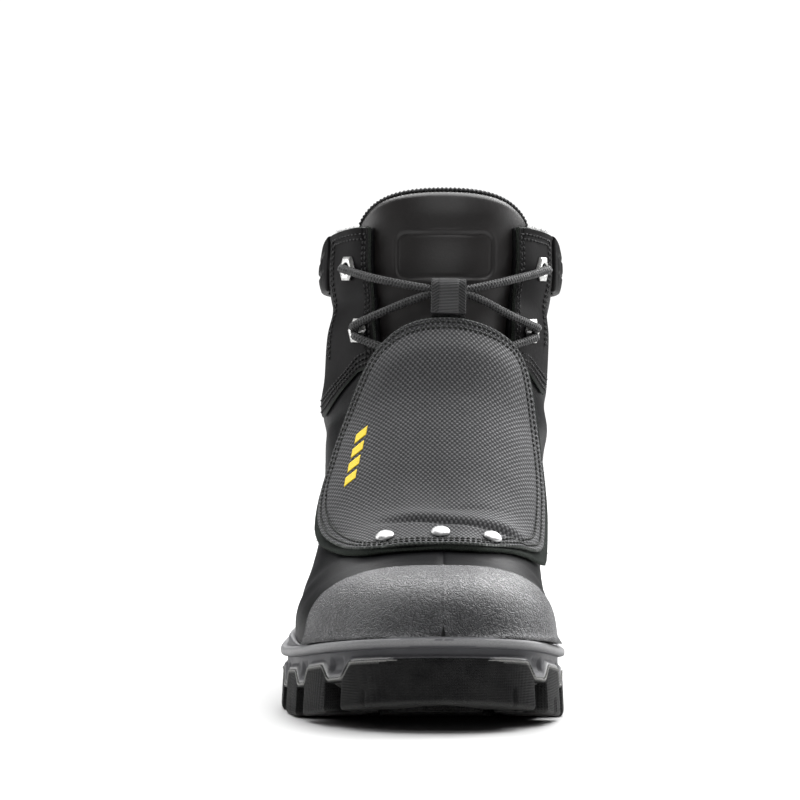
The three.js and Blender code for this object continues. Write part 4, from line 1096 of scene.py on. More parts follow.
def make_counter():
    """Columns round the heel from one side to the other, rows from the rim to the top line."""
    columns, rows = 100, 36
    c = dense_ends(columns, 0.006)
    turn = np.pi * (0.66 + 0.68 * c)

    start, end = np.full(c.shape, 11.5), np.full(c.shape, 18.0)
    low = place_under(start, end, lambda place: turn, lambda point: rim(point[..., 1]) + 0.3)
    high = place_under(start, end, lambda place: turn, lambda point: counter_top(point[..., 1]))
    high = np.maximum(high, low + 0.02)
    r = dense_ends(rows, 0.02)
    place = low[None, :] + (high - low)[None, :] * r[:, None]
    turn = np.broadcast_to(turn, place.shape)
    return overlay("heel_counter_leather", place, turn, OVERLAY_THICK, rows, columns)


OVERLAY_LEATHER = leather("overlay_leather", (0.006, 0.0056, 0.006), 0.48, raw=(0.05, 0.058, 0.05))
fit(make_counter(), "upper_leather", [OVERLAY_LEATHER], "heel_counter")

# Collar pad: a soft band of garment leather over foam, sewn round the back and the sides of
# the collar, with two channels stitched along it so that it stands up in three rolls.

COLLAR_PAD_THICK = 3.0
COLLAR_PAD_HEIGHT = 28.0
PAD_FRONT = 0.71 * SOLE_LENGTH


def turn_at_depth(place, side, y):
    """The turn on one side at which the skin passes a distance y behind the toe."""

    def before(turn):
        return skin(place, side * turn)[..., 1] < y

    return bisect(np.zeros(np.shape(place)), np.full(np.shape(place), np.pi), before)


PAD_STATIONS = np.linspace(10, 20, 300)
PAD_TURNS = {side: turn_at_depth(PAD_STATIONS, side, PAD_FRONT) for side in (-1, 1)}


def pad_turn(place, side, shift=0.0):
    return side * (np.interp(place, PAD_STATIONS, PAD_TURNS[side]) + shift)


def make_collar_pad():
    """Between the two side lines round the heel and between two heights, puffed with a sine
    across the band less two narrow channels."""
    columns, rows = 170, 60
    c = dense_ends(columns, 0.012)

    def turns(place):
        start = pad_turn(place, 1, 0.004)
        end = 2 * np.pi + pad_turn(place, -1, 0.004)
        return start + (end - start) * c

    def bottom(point):
        share = (point[..., 1] - PAD_FRONT) / (1.1 * SOLE_LENGTH - PAD_FRONT)
        return COLLAR_HEIGHT - COLLAR_PAD_HEIGHT - 8 * share

    start, end = np.full(c.shape, 10.5), np.full(c.shape, 20.0)
    low = place_under(start, end, turns, bottom)
    high = place_under(start, end, turns, lambda point: collar_line(point[..., 1]) + 0.6)
    r = dense_ends(rows, 0.05)
    place = low[None, :] + (high - low)[None, :] * r[:, None]
    turn = turns(place)
    channels = hill(r, 0.36, 0.035) + hill(r, 0.68, 0.035)
    puff = 1.9 * np.sin(np.pi * r) ** 0.6 - 1.5 * channels
    wrinkle = 0.22 * np.sin(turn * 41 + 1.3 * np.sin(9 * turn)) * np.sin(np.pi * r)[:, None] ** 2
    ends = ease(np.minimum(c, 1 - c), 0, 0.1)
    puff = puff[:, None] * ends[None, :] + wrinkle
    return overlay("collar_pad_leather", place, turn, COLLAR_PAD_THICK, rows, columns, puff)


PAD_LEATHER = leather("pad_leather", (0.0045, 0.0042, 0.0045), 0.5, 0.04, raw=(0.0045, 0.0042, 0.0045))
collar_pad = fit(make_collar_pad(), "upper_leather", [PAD_LEATHER], "collar_pad")

# Eyestays: thick split leather, one panel on each side of the throat, cut raw. Two rows of
# stitching follow the top, the throat's edge and the outer edge, and loose fibres stand off
# the cut. A slanting seam of three rows closes the panel's foot.

EYESTAY_DROP = 63.0
EYESTAY_SEAMS = (0.052, 0.098)
STITCH_PITCH = 2.3
STITCH_FILLED = 0.8
STITCH_SINK = 0.08
STITCH_ARCH = 0.32


def eyestay_foot(x):
    """Lower edge of the panel in the front view, by the distance from the middle."""
    low = COLLAR_HEIGHT - EYESTAY_DROP
    return np.interp(np.abs(x), [0, 0.36 * SHAFT_WIDTH, 0.7 * SHAFT_WIDTH], [low + 18, low, low - 46])


def eyestay_grid(side, c, r, foot_lift=0.0, top_drop=0.0):
    """Place and turn at shares c from the throat's edge to the side and r from foot to top."""

    def turns(place):
        inner = throat_turn(place, side)
        return inner + (pad_turn(place, side, -0.006) - inner) * c

    start, end = np.full(c.shape, 9.0), np.full(c.shape, 20.0)
    low = place_under(start, end, turns, lambda point: eyestay_foot(point[..., 0]) + foot_lift)
    high = place_under(start, end, turns, lambda point: collar_line(point[..., 1]) - top_drop)
    place = low + (high - low) * r
    return place, turns(place)


def make_eyestay(side):
    columns, rows = 70, 84
    c = dense_ends(columns, 0.012)
    r = dense_ends(rows, 0.012)
    place, turn = eyestay_grid(side, np.broadcast_to(c, (len(r), len(c))), r[:, None])
    name = "eyestay_lateral_leather" if side < 0 else "eyestay_medial_leather"
    curl = 0.7 * hill(c, 0, 0.05)[None, :] + 0.5 * hill(r, 1, 0.03)[:, None]
    buckle = 0.35 * hill(c, 0.3, 0.22)[None, :] * np.sin(r * 9 + side)[:, None]
    pressed = sum(0.35 * hill(c, at, 0.012) for at in (0.055, 0.1))[None, :]
    return overlay(name, place, turn, OVERLAY_THICK, rows, columns, curl + buckle - pressed)


for side, node in ((-1, "eyestay_lateral"), (1, "eyestay_medial")):
    fit(make_eyestay(side), "upper_leather", [OVERLAY_LEATHER], node)


def run_along(path):
    """The distance from its start at each point of a path."""
    return np.concatenate([[0], np.cumsum(np.linalg.norm(np.diff(path, axis=0), axis=-1))])


def read_along(values, run, at):
    """Vectors known at the distances run, read at the distances at."""
    return np.stack([np.interp(at, run, values[:, k]) for k in range(3)], -1)


def tubes(name, starts, ends, lifts, radius, rounds=6, steps=6):
    """Many short threads as one mesh. Each is a bulging tube from start to end that arches
    up by its lift: radius times sin^0.4 along it, height 4t(1 - t) of the lift."""
    count = len(starts)
    t = np.linspace(0, 1, steps)
    swell = np.maximum(0.05, np.sin(np.pi * t) ** 0.4)
    line = starts[:, None] + (ends - starts)[:, None] * t[None, :, None]
    up = lifts / np.maximum(1e-9, np.linalg.norm(lifts, axis=-1, keepdims=True))
    line = line + lifts[:, None] * (4 * t * (1 - t))[None, :, None]
    ahead = ends - starts
    side = np.cross(ahead, up)
    side = side / np.maximum(1e-9, np.linalg.norm(side, axis=-1, keepdims=True))
    angle = np.arange(rounds) * 2 * np.pi / rounds
    turned = np.stack([np.cos(angle), np.sin(angle)])[:, None, None, :, None]
    ring = turned[0] * up[:, None, None] + turned[1] * side[:, None, None]
    points = line[:, :, None] + ring * (np.asarray(radius) * swell)[None, :, None, None]
    one = quads(steps, rounds, round_=True)[:, ::-1]
    faces = (one[None] + (np.arange(count) * steps * rounds)[:, None, None]).reshape(-1, 4)
    uv = np.stack(np.meshgrid(t * 3, angle, indexing="ij"), -1)
    uv = np.broadcast_to(uv[None], (count, steps, rounds, 2))
    return make_object(name, points.reshape(-1, 3), faces, uv.reshape(-1, 2))


def stitch_ends(path, normals):
    """Start and end of each stitch at even distances along a path, with its normal."""
    run = run_along(path)
    count = max(1, int(run[-1] / STITCH_PITCH))
    at = np.arange(count) * run[-1] / count
    step = run[-1] / count * STITCH_FILLED
    starts, ends = read_along(path, run, at), read_along(path, run, at + step)
    return starts, ends, read_along(normals, run, at + step / 2)


def seam(name, paths, material, radius=0.42):
    """Rows of stitches along several paths, each path given as points and their normals."""
    starts, ends, ups = (np.concatenate(part) for part in zip(*(stitch_ends(*path) for path in paths)))
    sunk = ups * STITCH_SINK
    thing = tubes(name, starts - sunk, ends - sunk, ups * STITCH_ARCH, radius)
    return fit(thing, "upper_leather", [material])


def thread(name, colour):
    """Bonded polyester thread: fine twisted plies across each stitch, with painted shade between them and a
    painted highlight on their crests.
    """
    material, n = node_material(name, colour, 0.55)
    where = n.mapping(n.uv(), (9, 3, 1))
    plies = n.add("ShaderNodeTexWave", {"Vector": where, "Scale": 1.0, "Distortion": 0.3}).outputs["Fac"]
    # Painted shade and highlight: the colour runs from 0.5 to 1.4 of itself with the ply height that the bump
    # uses.
    n.surface(
        n.mix(plies, times(colour, 0.5), times(colour, 1.4)),
        0.55,
        n.bump(plies, 0.08),
    )
    return material


BLACK_THREAD = thread("black_thread", (0.011, 0.011, 0.0115))


def on_skin(place, turn, distance):
    return worn(place, turn, np.full(np.shape(place), float(distance))), skin_normal(place, turn)


def eyestay_seams(side):
    """Two rows inside the throat's edge, the top and the outer edge, and three along the foot."""
    lines = []
    top = GAP + OVERLAY_THICK + 0.12
    for step, inset in enumerate(EYESTAY_SEAMS):
        drop = 3.0 + 2.2 * step
        r = np.linspace(0.04, 1, 80)
        place, turn = eyestay_grid(side, np.full(80, inset), r, 2.0, drop)
        lines.append(on_skin(place, turn, top + 0.25))
        c = np.linspace(inset, 0.86 - 0.06 * step, 40)
        place, turn = eyestay_grid(side, c, np.ones(40), 2.0, drop)
        lines.append(on_skin(place, turn, top + 0.1))
        place, turn = eyestay_grid(side, np.full(60, 0.86 - 0.06 * step), np.linspace(1, 0.25, 60), 2.0, drop)
        lines.append(on_skin(place, turn, top))
    for step in range(3):
        c = np.linspace(0.05, 0.97, 60)
        place, turn = eyestay_grid(side, c, np.zeros(60), 1.8 + 2.4 * step)
        lines.append(on_skin(place, turn, top))
    return lines


for side, name in ((-1, "stitches_eyestay_lateral"), (1, "stitches_eyestay_medial")):
    seam(name, eyestay_seams(side), BLACK_THREAD)


def fibres(name, roots, normals, outwards, seed, material, long=1.6, thin=0.05):
    """Loose fibres on a cut edge: thin bent tapering threads of random length and lean."""
    chance = np.random.default_rng(seed)
    count = len(roots)
    lean = outwards * chance.uniform(0.2, 1.0, (count, 1)) + normals * chance.uniform(-0.5, 0.8, (count, 1))
    lean = lean + chance.normal(0, 0.45, (count, 3))
    lean = lean / np.linalg.norm(lean, axis=-1, keepdims=True)
    ends = roots + lean * chance.uniform(0.35, 1.0, (count, 1)) ** 2 * long
    bend = chance.normal(0, 0.12 * long, (count, 3))
    return fit(tubes(name, roots, ends, bend, thin, rounds=3, steps=4), "upper_leather", [material])


RAW_FIBRE = thread("raw_fibre", (0.025, 0.029, 0.026))


def eyestay_fuzz(side, seed, count=700):
    """Roots spread along the throat's edge and the top, through the panel's thickness."""
    chance = np.random.default_rng(seed)
    part = chance.uniform(0, 1, count)
    down = part < 0.72
    r = np.where(down, chance.uniform(0.12, 1, count), 1.0)
    c = np.where(down, 0.0, chance.uniform(0, 0.75, count))
    place, turn = eyestay_grid(side, c, r)
    depth = GAP + chance.uniform(0.1, 1.0, count) * OVERLAY_THICK + 0.5
    roots, normals = worn(place, turn, depth), skin_normal(place, turn)
    across = (off_skin(place, turn + 0.02 * side, 0) - off_skin(place, turn, 0))
    across = -across / np.linalg.norm(across, axis=-1, keepdims=True)
    up = np.array([0, 0.1, 1.0])
    outwards = np.where(down[:, None], across, up)
    return roots, normals, outwards


for side, name in ((-1, "fuzz_eyestay_lateral"), (1, "fuzz_eyestay_medial")):
    fibres(name, *eyestay_fuzz(side, 7 + side), 11 + side, RAW_FIBRE)

# Tongue: a bellows tongue of soft leather over foam, standing above the collar. Its edge is
# bound with a corded tape, and a plain sunk frame is pressed into its upper part.

TONGUE_THICK = 7.0
TONGUE_RISE = 17.0
TONGUE_WIDTH = 78.0
FRAME_WIDTH = 42.0
FRAME_HEIGHT = 19.0
FRAME_MIDDLE = COLLAR_HEIGHT - 12.0


def tongue_half(z):
    """Half the tongue's width at a height: wider from its foot to the collar."""
    heights = [THROAT_BOTTOM + 6, COLLAR_HEIGHT - 10, COLLAR_HEIGHT + 40]
    return np.interp(z, heights, np.array([0.32, 0.5, 0.5]) * TONGUE_WIDTH)


def tongue_top(c):
    """Top of the tongue by the share c of its half width: the part's cubic curve."""
    t = np.linspace(0, 1, 200)
    half_share = (1 - t) ** 3 + 3 * 0.85 * t * (1 - t) ** 2 + 3 * 0.5 * t * t * (1 - t)
    rise = 2 * (1 - t) ** 3 + 3 * (TONGUE_RISE - 3) * t * (1 - t) ** 2
    rise = rise + TONGUE_RISE * (3 * t * t * (1 - t) + t**3)
    return COLLAR_HEIGHT + np.interp(np.abs(c), half_share[::-1], rise[::-1])


def tongue_grid(c, r):
    """Place and turn at shares c of the half width and r from the tongue's foot to its top."""
    foot = THROAT_BOTTOM + 6
    z = foot + (tongue_top(c) - foot) * r
    return place_where(c * tongue_half(z), z, height_of), z


def frame_groove(x, z):
    """A groove along a rounded rectangle, 0.6 mm deep with a low ridge outside, and the
    field inside pressed in by 0.25 mm."""
    corner = 4.0
    dx = np.abs(x) - (FRAME_WIDTH / 2 - corner)
    dz = np.abs(z - FRAME_MIDDLE) - (FRAME_HEIGHT / 2 - corner)
    outside = np.hypot(np.maximum(dx, 0), np.maximum(dz, 0)) + np.minimum(np.maximum(dx, dz), 0) - corner
    field = 1 - ease(outside, -0.6, 0.2)
    return -0.6 * hill(outside, 0, 0.5) + 0.25 * hill(outside, 1.1, 0.5) - 0.25 * field


def tongue_puff(c, z):
    """Foam that fills the tongue: crowned across, drawn in at the edge and under the lace."""
    crown = np.maximum(0, 1 - np.abs(c) ** 3) ** 0.8
    shoulder = ease(z, 150, 176)
    lace_hollow = 0.8 * hill(z, 168, 9)
    top_roll = 0.9 * hill(z, COLLAR_HEIGHT + 8, 8)
    return crown * (0.4 + 1.9 * shoulder + top_roll - lace_hollow)


def make_tongue():
    columns, rows = 118, 130
    c = 2 * dense_ends(columns, 0.02) - 1
    r = np.concatenate([np.linspace(0, 0.97, rows), 1 - 0.03 * (1 - ROUND_STEPS[1:])])
    rise_r = np.concatenate([np.ones(rows), np.sqrt(1 - ROUND_STEPS[1:] ** 2)])
    shape = (len(r), len(c))
    (place, turn), z = tongue_grid(np.broadcast_to(c, shape), np.broadcast_to(r[:, None], shape))
    rise = np.maximum(0.05, np.minimum(rise_r[:, None], edge_rise(columns)[None, :]))
    x = skin(place, turn)[..., 0]
    puff = tongue_puff(c[None, :], z)
    wrinkle = 0.18 * np.sin(z / 2.1 + 0.9 * np.sin(x / 7)) * ease(np.abs(c), 0.55, 0.9)[None, :]
    middle = -WALL - GAP - TONGUE_THICK / 2
    half = TONGUE_THICK / 2 * rise
    outer = off_skin(place, turn, middle + half + (puff + wrinkle) * rise + frame_groove(x - 0.5, z))
    inner = off_skin(place, turn, middle - half)
    return closed_panel("tongue_leather", outer, inner, inner_slot=1)


TONGUE_LEATHER = leather("tongue_leather", (0.0075, 0.0062, 0.0062), 0.42, 0.03, dusty=0.05, shine=0.5)
tongue = fit(make_tongue(), "tongue_leather", [TONGUE_LEATHER, LINING], "tongue")


def sweep(name, path, side, up, width, height):
    """An oval tube along a path: half width along side, half height along up, each given
    for every ring and round the ring."""
    rounds = width.shape[1]
    angle = np.arange(rounds) * 2 * np.pi / rounds
    run = run_along(path)
    width = width * np.cos(angle)
    height = height * np.sin(angle)
    points = path[:, None] + side[:, None] * width[..., None] + up[:, None] * height[..., None]
    ends = points[[0, -1]].mean(1)
    vertices = np.concatenate([points.reshape(-1, 3), ends])
    wall = quads(len(path), rounds, round_=True)
    last = (len(path) - 1) * rounds
    i = np.arange(rounds)
    after = (i + 1) % rounds
    tip = np.full(rounds, len(vertices) - 2)
    caps = np.concatenate([
        np.stack([tip, after, i, i], -1),
        np.stack([tip + 1, last + i, last + after, last + after], -1),
    ])
    uv = np.stack(np.broadcast_arrays(run[:, None], angle[None, :]), -1).reshape(-1, 2)
    uv = np.concatenate([uv, [[0, 0], [run[-1], 0]]])
    work = make_object(name, vertices, wall, uv)
    mesh = bmesh.new()
    mesh.from_mesh(work.data)
    mesh.verts.ensure_lookup_table()
    for a, b, d, _ in caps:
        mesh.faces.new([mesh.verts[a], mesh.verts[b], mesh.verts[d]])
    bmesh.ops.recalc_face_normals(mesh, faces=mesh.faces)
    for face in mesh.faces:
        face.smooth = True
    mesh.to_mesh(work.data)
    mesh.free()
    return work


def frames_along(path, up):
    """Unit side and up vectors across a path, made square to its direction."""
    ahead = np.gradient(path, axis=0)
    ahead = ahead / np.linalg.norm(ahead, axis=-1, keepdims=True)
    side = np.cross(ahead, up)
    side = side / np.linalg.norm(side, axis=-1, keepdims=True)
    return side, np.cross(side, ahead)


def make_binding():
    """Up one edge of the tongue, over its top and down the other, with ribs of the tape."""
    edge = np.linspace(0.42, 1, 120)
    over = np.linspace(-1, 1, 260)[1:-1]
    c = np.concatenate([np.full(120, -1.0), over, np.full(120, 1.0)])
    r = np.concatenate([edge, np.ones(len(over)), edge[::-1]])
    (place, turn), _ = tongue_grid(c * 0.997, r)
    path = off_skin(place, turn, np.full(len(c), -WALL - GAP - TONGUE_THICK / 2 + 0.6))
    run = run_along(path)
    at = np.linspace(0, run[-1], 620)
    path = read_along(path, run, at)
    side, up = frames_along(path, read_along(skin_normal(place, turn), run, at))
    angle = np.arange(14) * 2 * np.pi / 14
    rib = 0.26 * np.sin(at[:, None] * 2 * np.pi / 1.8 + angle[None, :])
    return sweep("tongue_binding", path, side, up, 1.35 + rib, 3.1 + rib)


WEBBING = knitted("webbing", (0.026, 0.026, 0.027), 0.75, 0.6)
fit(make_binding(), "webbing", [WEBBING])

# Metatarsal flap: a padded cover of coated, dot-woven fabric over a hard plate, sewn with two
# rows of thread to a backing of rough split leather, and riveted through the vamp at its
# lower edge. The fabric dips in a long crease just above the rivets.

GUARD_LENGTH = 130.0
GUARD_WIDTH = 96.0
GUARD_LIFT = 6.4
BACKING_THICK = 1.8
COVER_THICK = 2.0
GUARD_PAD = 2.2
GUARD_SEAMS = (3.4, 5.9)
WEAVE_ACROSS = 0.95
WEAVE_UP = 1.12
GUARD_REACH = 0.243 * SOLE_LENGTH + BALL_STACK + 0.28 * SHAFT_RISE

# up, lateral, medial: up is a share of the flap's length, the others of its width.
GUARD = np.array([
    (0.05, 0, 0),
    (0.046, 0.12, 0.07),
    (0.05, 0.25, 0.13),
    (0.062, 0.34, 0.19),
    (0.1, 0.41, 0.27),
    (0.15, 0.455, 0.345),
    (0.21, 0.494, 0.405),
    (0.27, 0.525, 0.435),
    (0.34, 0.548, 0.445),
    (0.43, 0.56, 0.45),
    (0.53, 0.55, 0.452),
    (0.62, 0.518, 0.445),
    (0.71, 0.481, 0.434),
    (0.79, 0.434, 0.42),
    (0.87, 0.378, 0.403),
    (0.935, 0.317, 0.38),
    (0.97, 0.25, 0.35),
    (0.99, 0.185, 0.31),
    (1, 0.11, 0.24),
    (1.004, 0, 0.08),
])


def guard_outline(inset, count):
    """Points evenly spaced round the flap as laid out flat, moved in square to the edge."""
    rows = through(GUARD, np.linspace(0, len(GUARD) - 1, 2000))
    up = rows[:, 0] * GUARD_LENGTH
    x = np.concatenate([rows[:, 2] * GUARD_WIDTH, -rows[::-1, 1] * GUARD_WIDTH])
    y = np.concatenate([up, up[::-1]])
    run = np.concatenate([[0], np.cumsum(np.hypot(np.diff(x), np.diff(y)))])
    at = np.arange(count) * run[-1] / count
    x, y = np.interp(at, run, x), np.interp(at, run, y)
    dx, dy = np.roll(x, -3) - np.roll(x, 3), np.roll(y, -3) - np.roll(y, 3)
    length = np.hypot(dx, dy)
    return np.stack([x - dy / length * inset, y + dx / length * inset], -1)


GUARD_MIDDLE = np.array([0.0, GUARD_LENGTH / 2])
GUARD_EDGE = guard_outline(0, 600)


def reach_of(point):
    return point[..., 1] + point[..., 2]


def guard_lift(place):
    """How far the backing stands off the skin: on it at the rivets, clear of the lace above."""
    return GAP + GUARD_LIFT * (0.7 * ease(place, 7.6, 10.5) + 0.3 * ease(place, 11, 12.5))


def on_guard(flat, lift=guard_lift):
    """Place and turn of the skin under a point of the flap laid out in its 45 degree plane.
    The aim is moved, four times, by what the flap's lift off the skin has shifted it."""
    x, reach = flat[..., 0], GUARD_REACH + flat[..., 1] * math.sqrt(2)
    aim_x, aim_reach = x, reach
    for _ in range(4):
        place, turn = place_where(aim_x, aim_reach, reach_of)
        point = off_skin(place, turn, lift(place))
        aim_x = aim_x + x - point[..., 0]
        aim_reach = aim_reach + reach - reach_of(point)
    return place_where(aim_x, aim_reach, reach_of)


def edge_distance(flat):
    """Distance of each flat point from the flap's outline."""
    points = flat.reshape(-1, 2)
    nearest = np.full(len(points), 1e9)
    for start in range(0, len(GUARD_EDGE), 50):
        part = GUARD_EDGE[start : start + 50]
        dx, dy = np.moveaxis(points[:, None] - part[None], -1, 0)
        nearest = np.minimum(nearest, np.hypot(dx, dy).min(1))
    return nearest.reshape(flat.shape[:-1])


def face_outwards(thing):
    """Turns every face of a closed piece outwards."""
    mesh = bmesh.new()
    mesh.from_mesh(thing.data)
    bmesh.ops.recalc_face_normals(mesh, faces=mesh.faces)
    mesh.to_mesh(thing.data)
    mesh.free()


def round_panel(name, outer, inner, uv, wear):
    """A closed panel from two grids whose rows run from the middle out to a closed edge."""
    facing = np.cross(outer[5:-1, 2:] - outer[5:-1, :-2], outer[6:, 1:-1] - outer[4:-2, 1:-1])
    if (facing * (outer - inner)[5:-1, 1:-1]).sum() < 0:
        outer, inner, uv, wear = (grid[:, ::-1] for grid in (outer, inner, uv, wear))
    rows, columns, _ = outer.shape
    top = quads(rows, columns, round_=True)
    ring = (rows - 1) * columns + np.arange(columns)
    after = np.roll(ring, -1)
    size = rows * columns
    rim = np.stack([ring + size, after + size, after, ring], -1)
    faces = np.concatenate([top, top[:, ::-1] + size, rim])
    vertices = np.concatenate([outer.reshape(-1, 3), inner.reshape(-1, 3)])
    flat = uv.reshape(-1, 2)
    thing = make_object(name, vertices, faces, np.concatenate([flat, flat]))
    mark_wear(thing, np.concatenate([wear.ravel(), wear.ravel()]))
    weld(thing)
    face_outwards(thing)
    return thing


def guard_layer(name, inset, base, thick, rings, relief, around=300):
    """A layer of the flap: a fan of rings from its middle, rounded off at the edge. relief
    gives the height added to the outer face from the flat place and the edge distance."""
    edge = guard_outline(inset, around)
    share = np.concatenate([np.linspace(0, 1, rings) ** 0.8 * 0.985, 1 - (1 - ROUND_STEPS[1:]) * 0.015])
    edge_shares = np.concatenate([[0], 0.985 + 0.015 * ROUND_STEPS])
    edge_rises = np.concatenate([[1], np.sqrt(1 - ROUND_STEPS**2)])
    rise = np.maximum(0.08, np.interp(share, edge_shares, edge_rises))[:, None]
    flat = GUARD_MIDDLE + (edge - GUARD_MIDDLE)[None] * share[:, None, None]
    place, turn = on_guard(flat, base)
    lift = base(place)
    middle = lift + thick / 2
    added = relief(flat, place, turn)
    outer = off_skin(place, turn, middle + thick / 2 * rise + added)
    inner = off_skin(place, turn, middle - thick / 2 * rise + np.minimum(0, added) * 0.5)
    wear = np.broadcast_to(np.clip((1 - rise) / 0.5, 0, 1), flat.shape[:-1])
    return round_panel(name, outer, inner, flat, wear)


def backing_relief(flat, place, turn):
    """The backing ripples freely at its lower edge, between the rivets."""
    low = 1 - ease(flat[..., 1], 10, 26)
    return low * (0.8 + 0.7 * np.sin(flat[..., 0] / 6.5 + 0.6)) * ease(edge_distance(flat), -1, 2)


SPLIT_COLOURS = {"dust": (0.05, 0.056, 0.05), "raw": (0.05, 0.058, 0.05)}
SPLIT_LEATHER = leather("split_leather", (0.012, 0.014, 0.013), 0.85, 0.25, dusty=0.4, **SPLIT_COLOURS)
backing = guard_layer("guard_backing_leather", 0.0, guard_lift, BACKING_THICK, 50, backing_relief)
fit(backing, "flap_leather", [SPLIT_LEATHER], "guard_backing")

RIVET_HEAD = 8.0
RIVETS = {"rivet_lateral": (-0.243, 22.0), "rivet_middle": (-0.012, 23.0), "rivet_medial": (0.197, 22.7)}
rivet_x, rivet_reach = np.array(list(RIVETS.values())).T
RIVET_PLACE, RIVET_TURN = place_where(rivet_x * GUARD_WIDTH, GUARD_REACH + rivet_reach, reach_of)
rivet_top = off_skin(RIVET_PLACE, RIVET_TURN, np.full(3, BACKING_THICK + 2 * GAP))
RIVET_FLAT = np.stack([rivet_top[:, 0], (reach_of(rivet_top) - GUARD_REACH) / math.sqrt(2)], -1)


def cover_base(place):
    return guard_lift(place) + BACKING_THICK + GAP


def cover_relief(flat, place, turn):
    """Padding under the fabric, drawn down along the two stitched rows and the edge, round
    each rivet and in the crease above them, with slack ripples beside the crease."""
    across = np.maximum(0, np.cos(turn))
    pad = GUARD_PAD * ease(place, 7.8, 9.6) * (1 - ease(place, 12, 13.5)) * across
    inside = edge_distance(flat)
    rows = -0.35 * sum(hill(inside, inset, 0.75) for inset in GUARD_SEAMS)
    swell = 0.9 * ease(inside, 6, 16)
    x, up = flat[..., 0], flat[..., 1]
    crease_line = 25.5 + 0.0018 * (x - 6) ** 2 - 1.2 * np.sin(x / 15)
    deep = ease(x, -34, -8) * (1 - ease(x, 26, 38))
    crease = -1.9 * hill(up, crease_line, 1.9) * deep
    crease += 0.9 * hill(up, crease_line + 4.5, 3.2) * deep + 0.5 * hill(up, crease_line - 3.4, 1.8) * deep
    crease -= 0.5 * hill(up, crease_line + 9 + 0.2 * x, 1.7) * hill(x, 12, 14)
    seat = np.zeros_like(x)
    for rivet in RIVET_FLAT:
        seat -= 0.9 * hill(np.hypot(x - rivet[0], (up - rivet[1]) * 0.72), 0, 6.2)
    slack = 0.28 * np.sin(x / 5.1 + up / 9.0) * hill(up, 36, 16)
    return (pad + swell) * ease(inside, 1.5, 9) + rows + crease + seat + slack * ease(inside, 6, 12)


def dot_weave(name, colour):
    """Coated fabric: staggered raised ovals 1.9 mm apart, each the product of two sines over
    the flat layout, with painted shade in the grooves, fine fibres and dulled high spots."""
    material, n = node_material(name, colour, 0.62)
    flat = n.add("ShaderNodeSeparateXYZ", {0: n.uv()})
    where = n.millimetres()
    warped = n.noise(where, 0.4, 2.0)
    u = n.maths("MULTIPLY", flat.outputs[0], math.pi / WEAVE_ACROSS)
    u = n.maths("ADD", u, n.maths("MULTIPLY", warped, 0.5))
    v = n.maths("MULTIPLY", flat.outputs[1], math.pi / WEAVE_UP)
    dots = n.maths("MULTIPLY", n.maths("SINE", u), n.maths("SINE", v))
    bead = n.levels(dots, -0.15, 0.75)
    bead = n.maths("SQRT", bead)
    fibre = n.noise(where, 5.0, 3.0, 0.7)
    cloud = n.noise(where, 0.03, 3.0, 0.5)
    edge = n.add("ShaderNodeAttribute", attribute_name="wear").outputs["Fac"]
    body = n.mix(n.levels(cloud, 0.35, 0.7), times(colour, 0.8), times(colour, 1.25))
    # Painted shade: off the raised beads the colour falls to 0.34 of itself, as shade in the grooves.
    body = n.mix(n.maths("MULTIPLY", bead, 0.85), times(colour, 0.34), body)
    n.surface(
        n.mix(n.maths("MULTIPLY", edge, 0.8), body, (0.07, 0.08, 0.07)),
        n.levels(bead, 0.0, 1.0, 0.85, 0.52),
        n.bump(n.maths("ADD", bead, n.maths("MULTIPLY", fibre, 0.25)), 0.25),
    )
    n.shader.inputs["Specular IOR Level"].default_value = 0.35
    return material


FLAP_FABRIC = dot_weave("flap_fabric", (0.072, 0.072, 0.076))
cover = guard_layer("guard_cover_fabric", 1.5, cover_base, COVER_THICK, 84, cover_relief)
fit(cover, "flap_fabric", [FLAP_FABRIC], "guard_cover")


def over_cover(flat, above):
    """Points above the cover's outer face, with the skin's normals there."""
    place, turn = on_guard(flat, cover_base)
    height = cover_base(place) + COVER_THICK + cover_relief(flat, place, turn) + above
    return off_skin(place, turn, height), skin_normal(place, turn)


guard_rows = []
for inset in GUARD_SEAMS:
    loop = guard_outline(inset, 500)
    guard_rows.append(over_cover(np.concatenate([loop, loop[:1]]), 0.28))
CORD_THREAD = thread("cord_thread", (0.03, 0.032, 0.03))
seam("stitches_guard", guard_rows, CORD_THREAD, 0.56)


def guard_fuzz(inset, base, thick, count, seed):
    """Roots round the flap's cut edge, spread through its thickness."""
    chance = np.random.default_rng(seed)
    pick = chance.integers(0, 1200, count)
    flat = guard_outline(inset, 1200)[pick]
    place, turn = on_guard(flat, base)
    depth = base(place) + chance.uniform(0, 1, count) * thick
    roots, normals = off_skin(place, turn, depth), skin_normal(place, turn)
    beyond, outer_turn = on_guard(guard_outline(inset - 1, 1200)[pick], base)
    outwards = off_skin(beyond, outer_turn, depth) - roots
    outwards = outwards / np.linalg.norm(outwards, axis=-1, keepdims=True)
    return roots, normals, outwards


fibres("fuzz_guard_backing", *guard_fuzz(0.1, guard_lift, BACKING_THICK, 1600, 3), 4, RAW_FIBRE, long=1.3)
fibres("fuzz_guard_cover", *guard_fuzz(1.6, cover_base, COVER_THICK, 1200, 5), 6, RAW_FIBRE, long=1.1)

# A plain printed mark: four slanted dashes of yellow ink, pressed on near the outer edge.

MARK_DASHES = 4


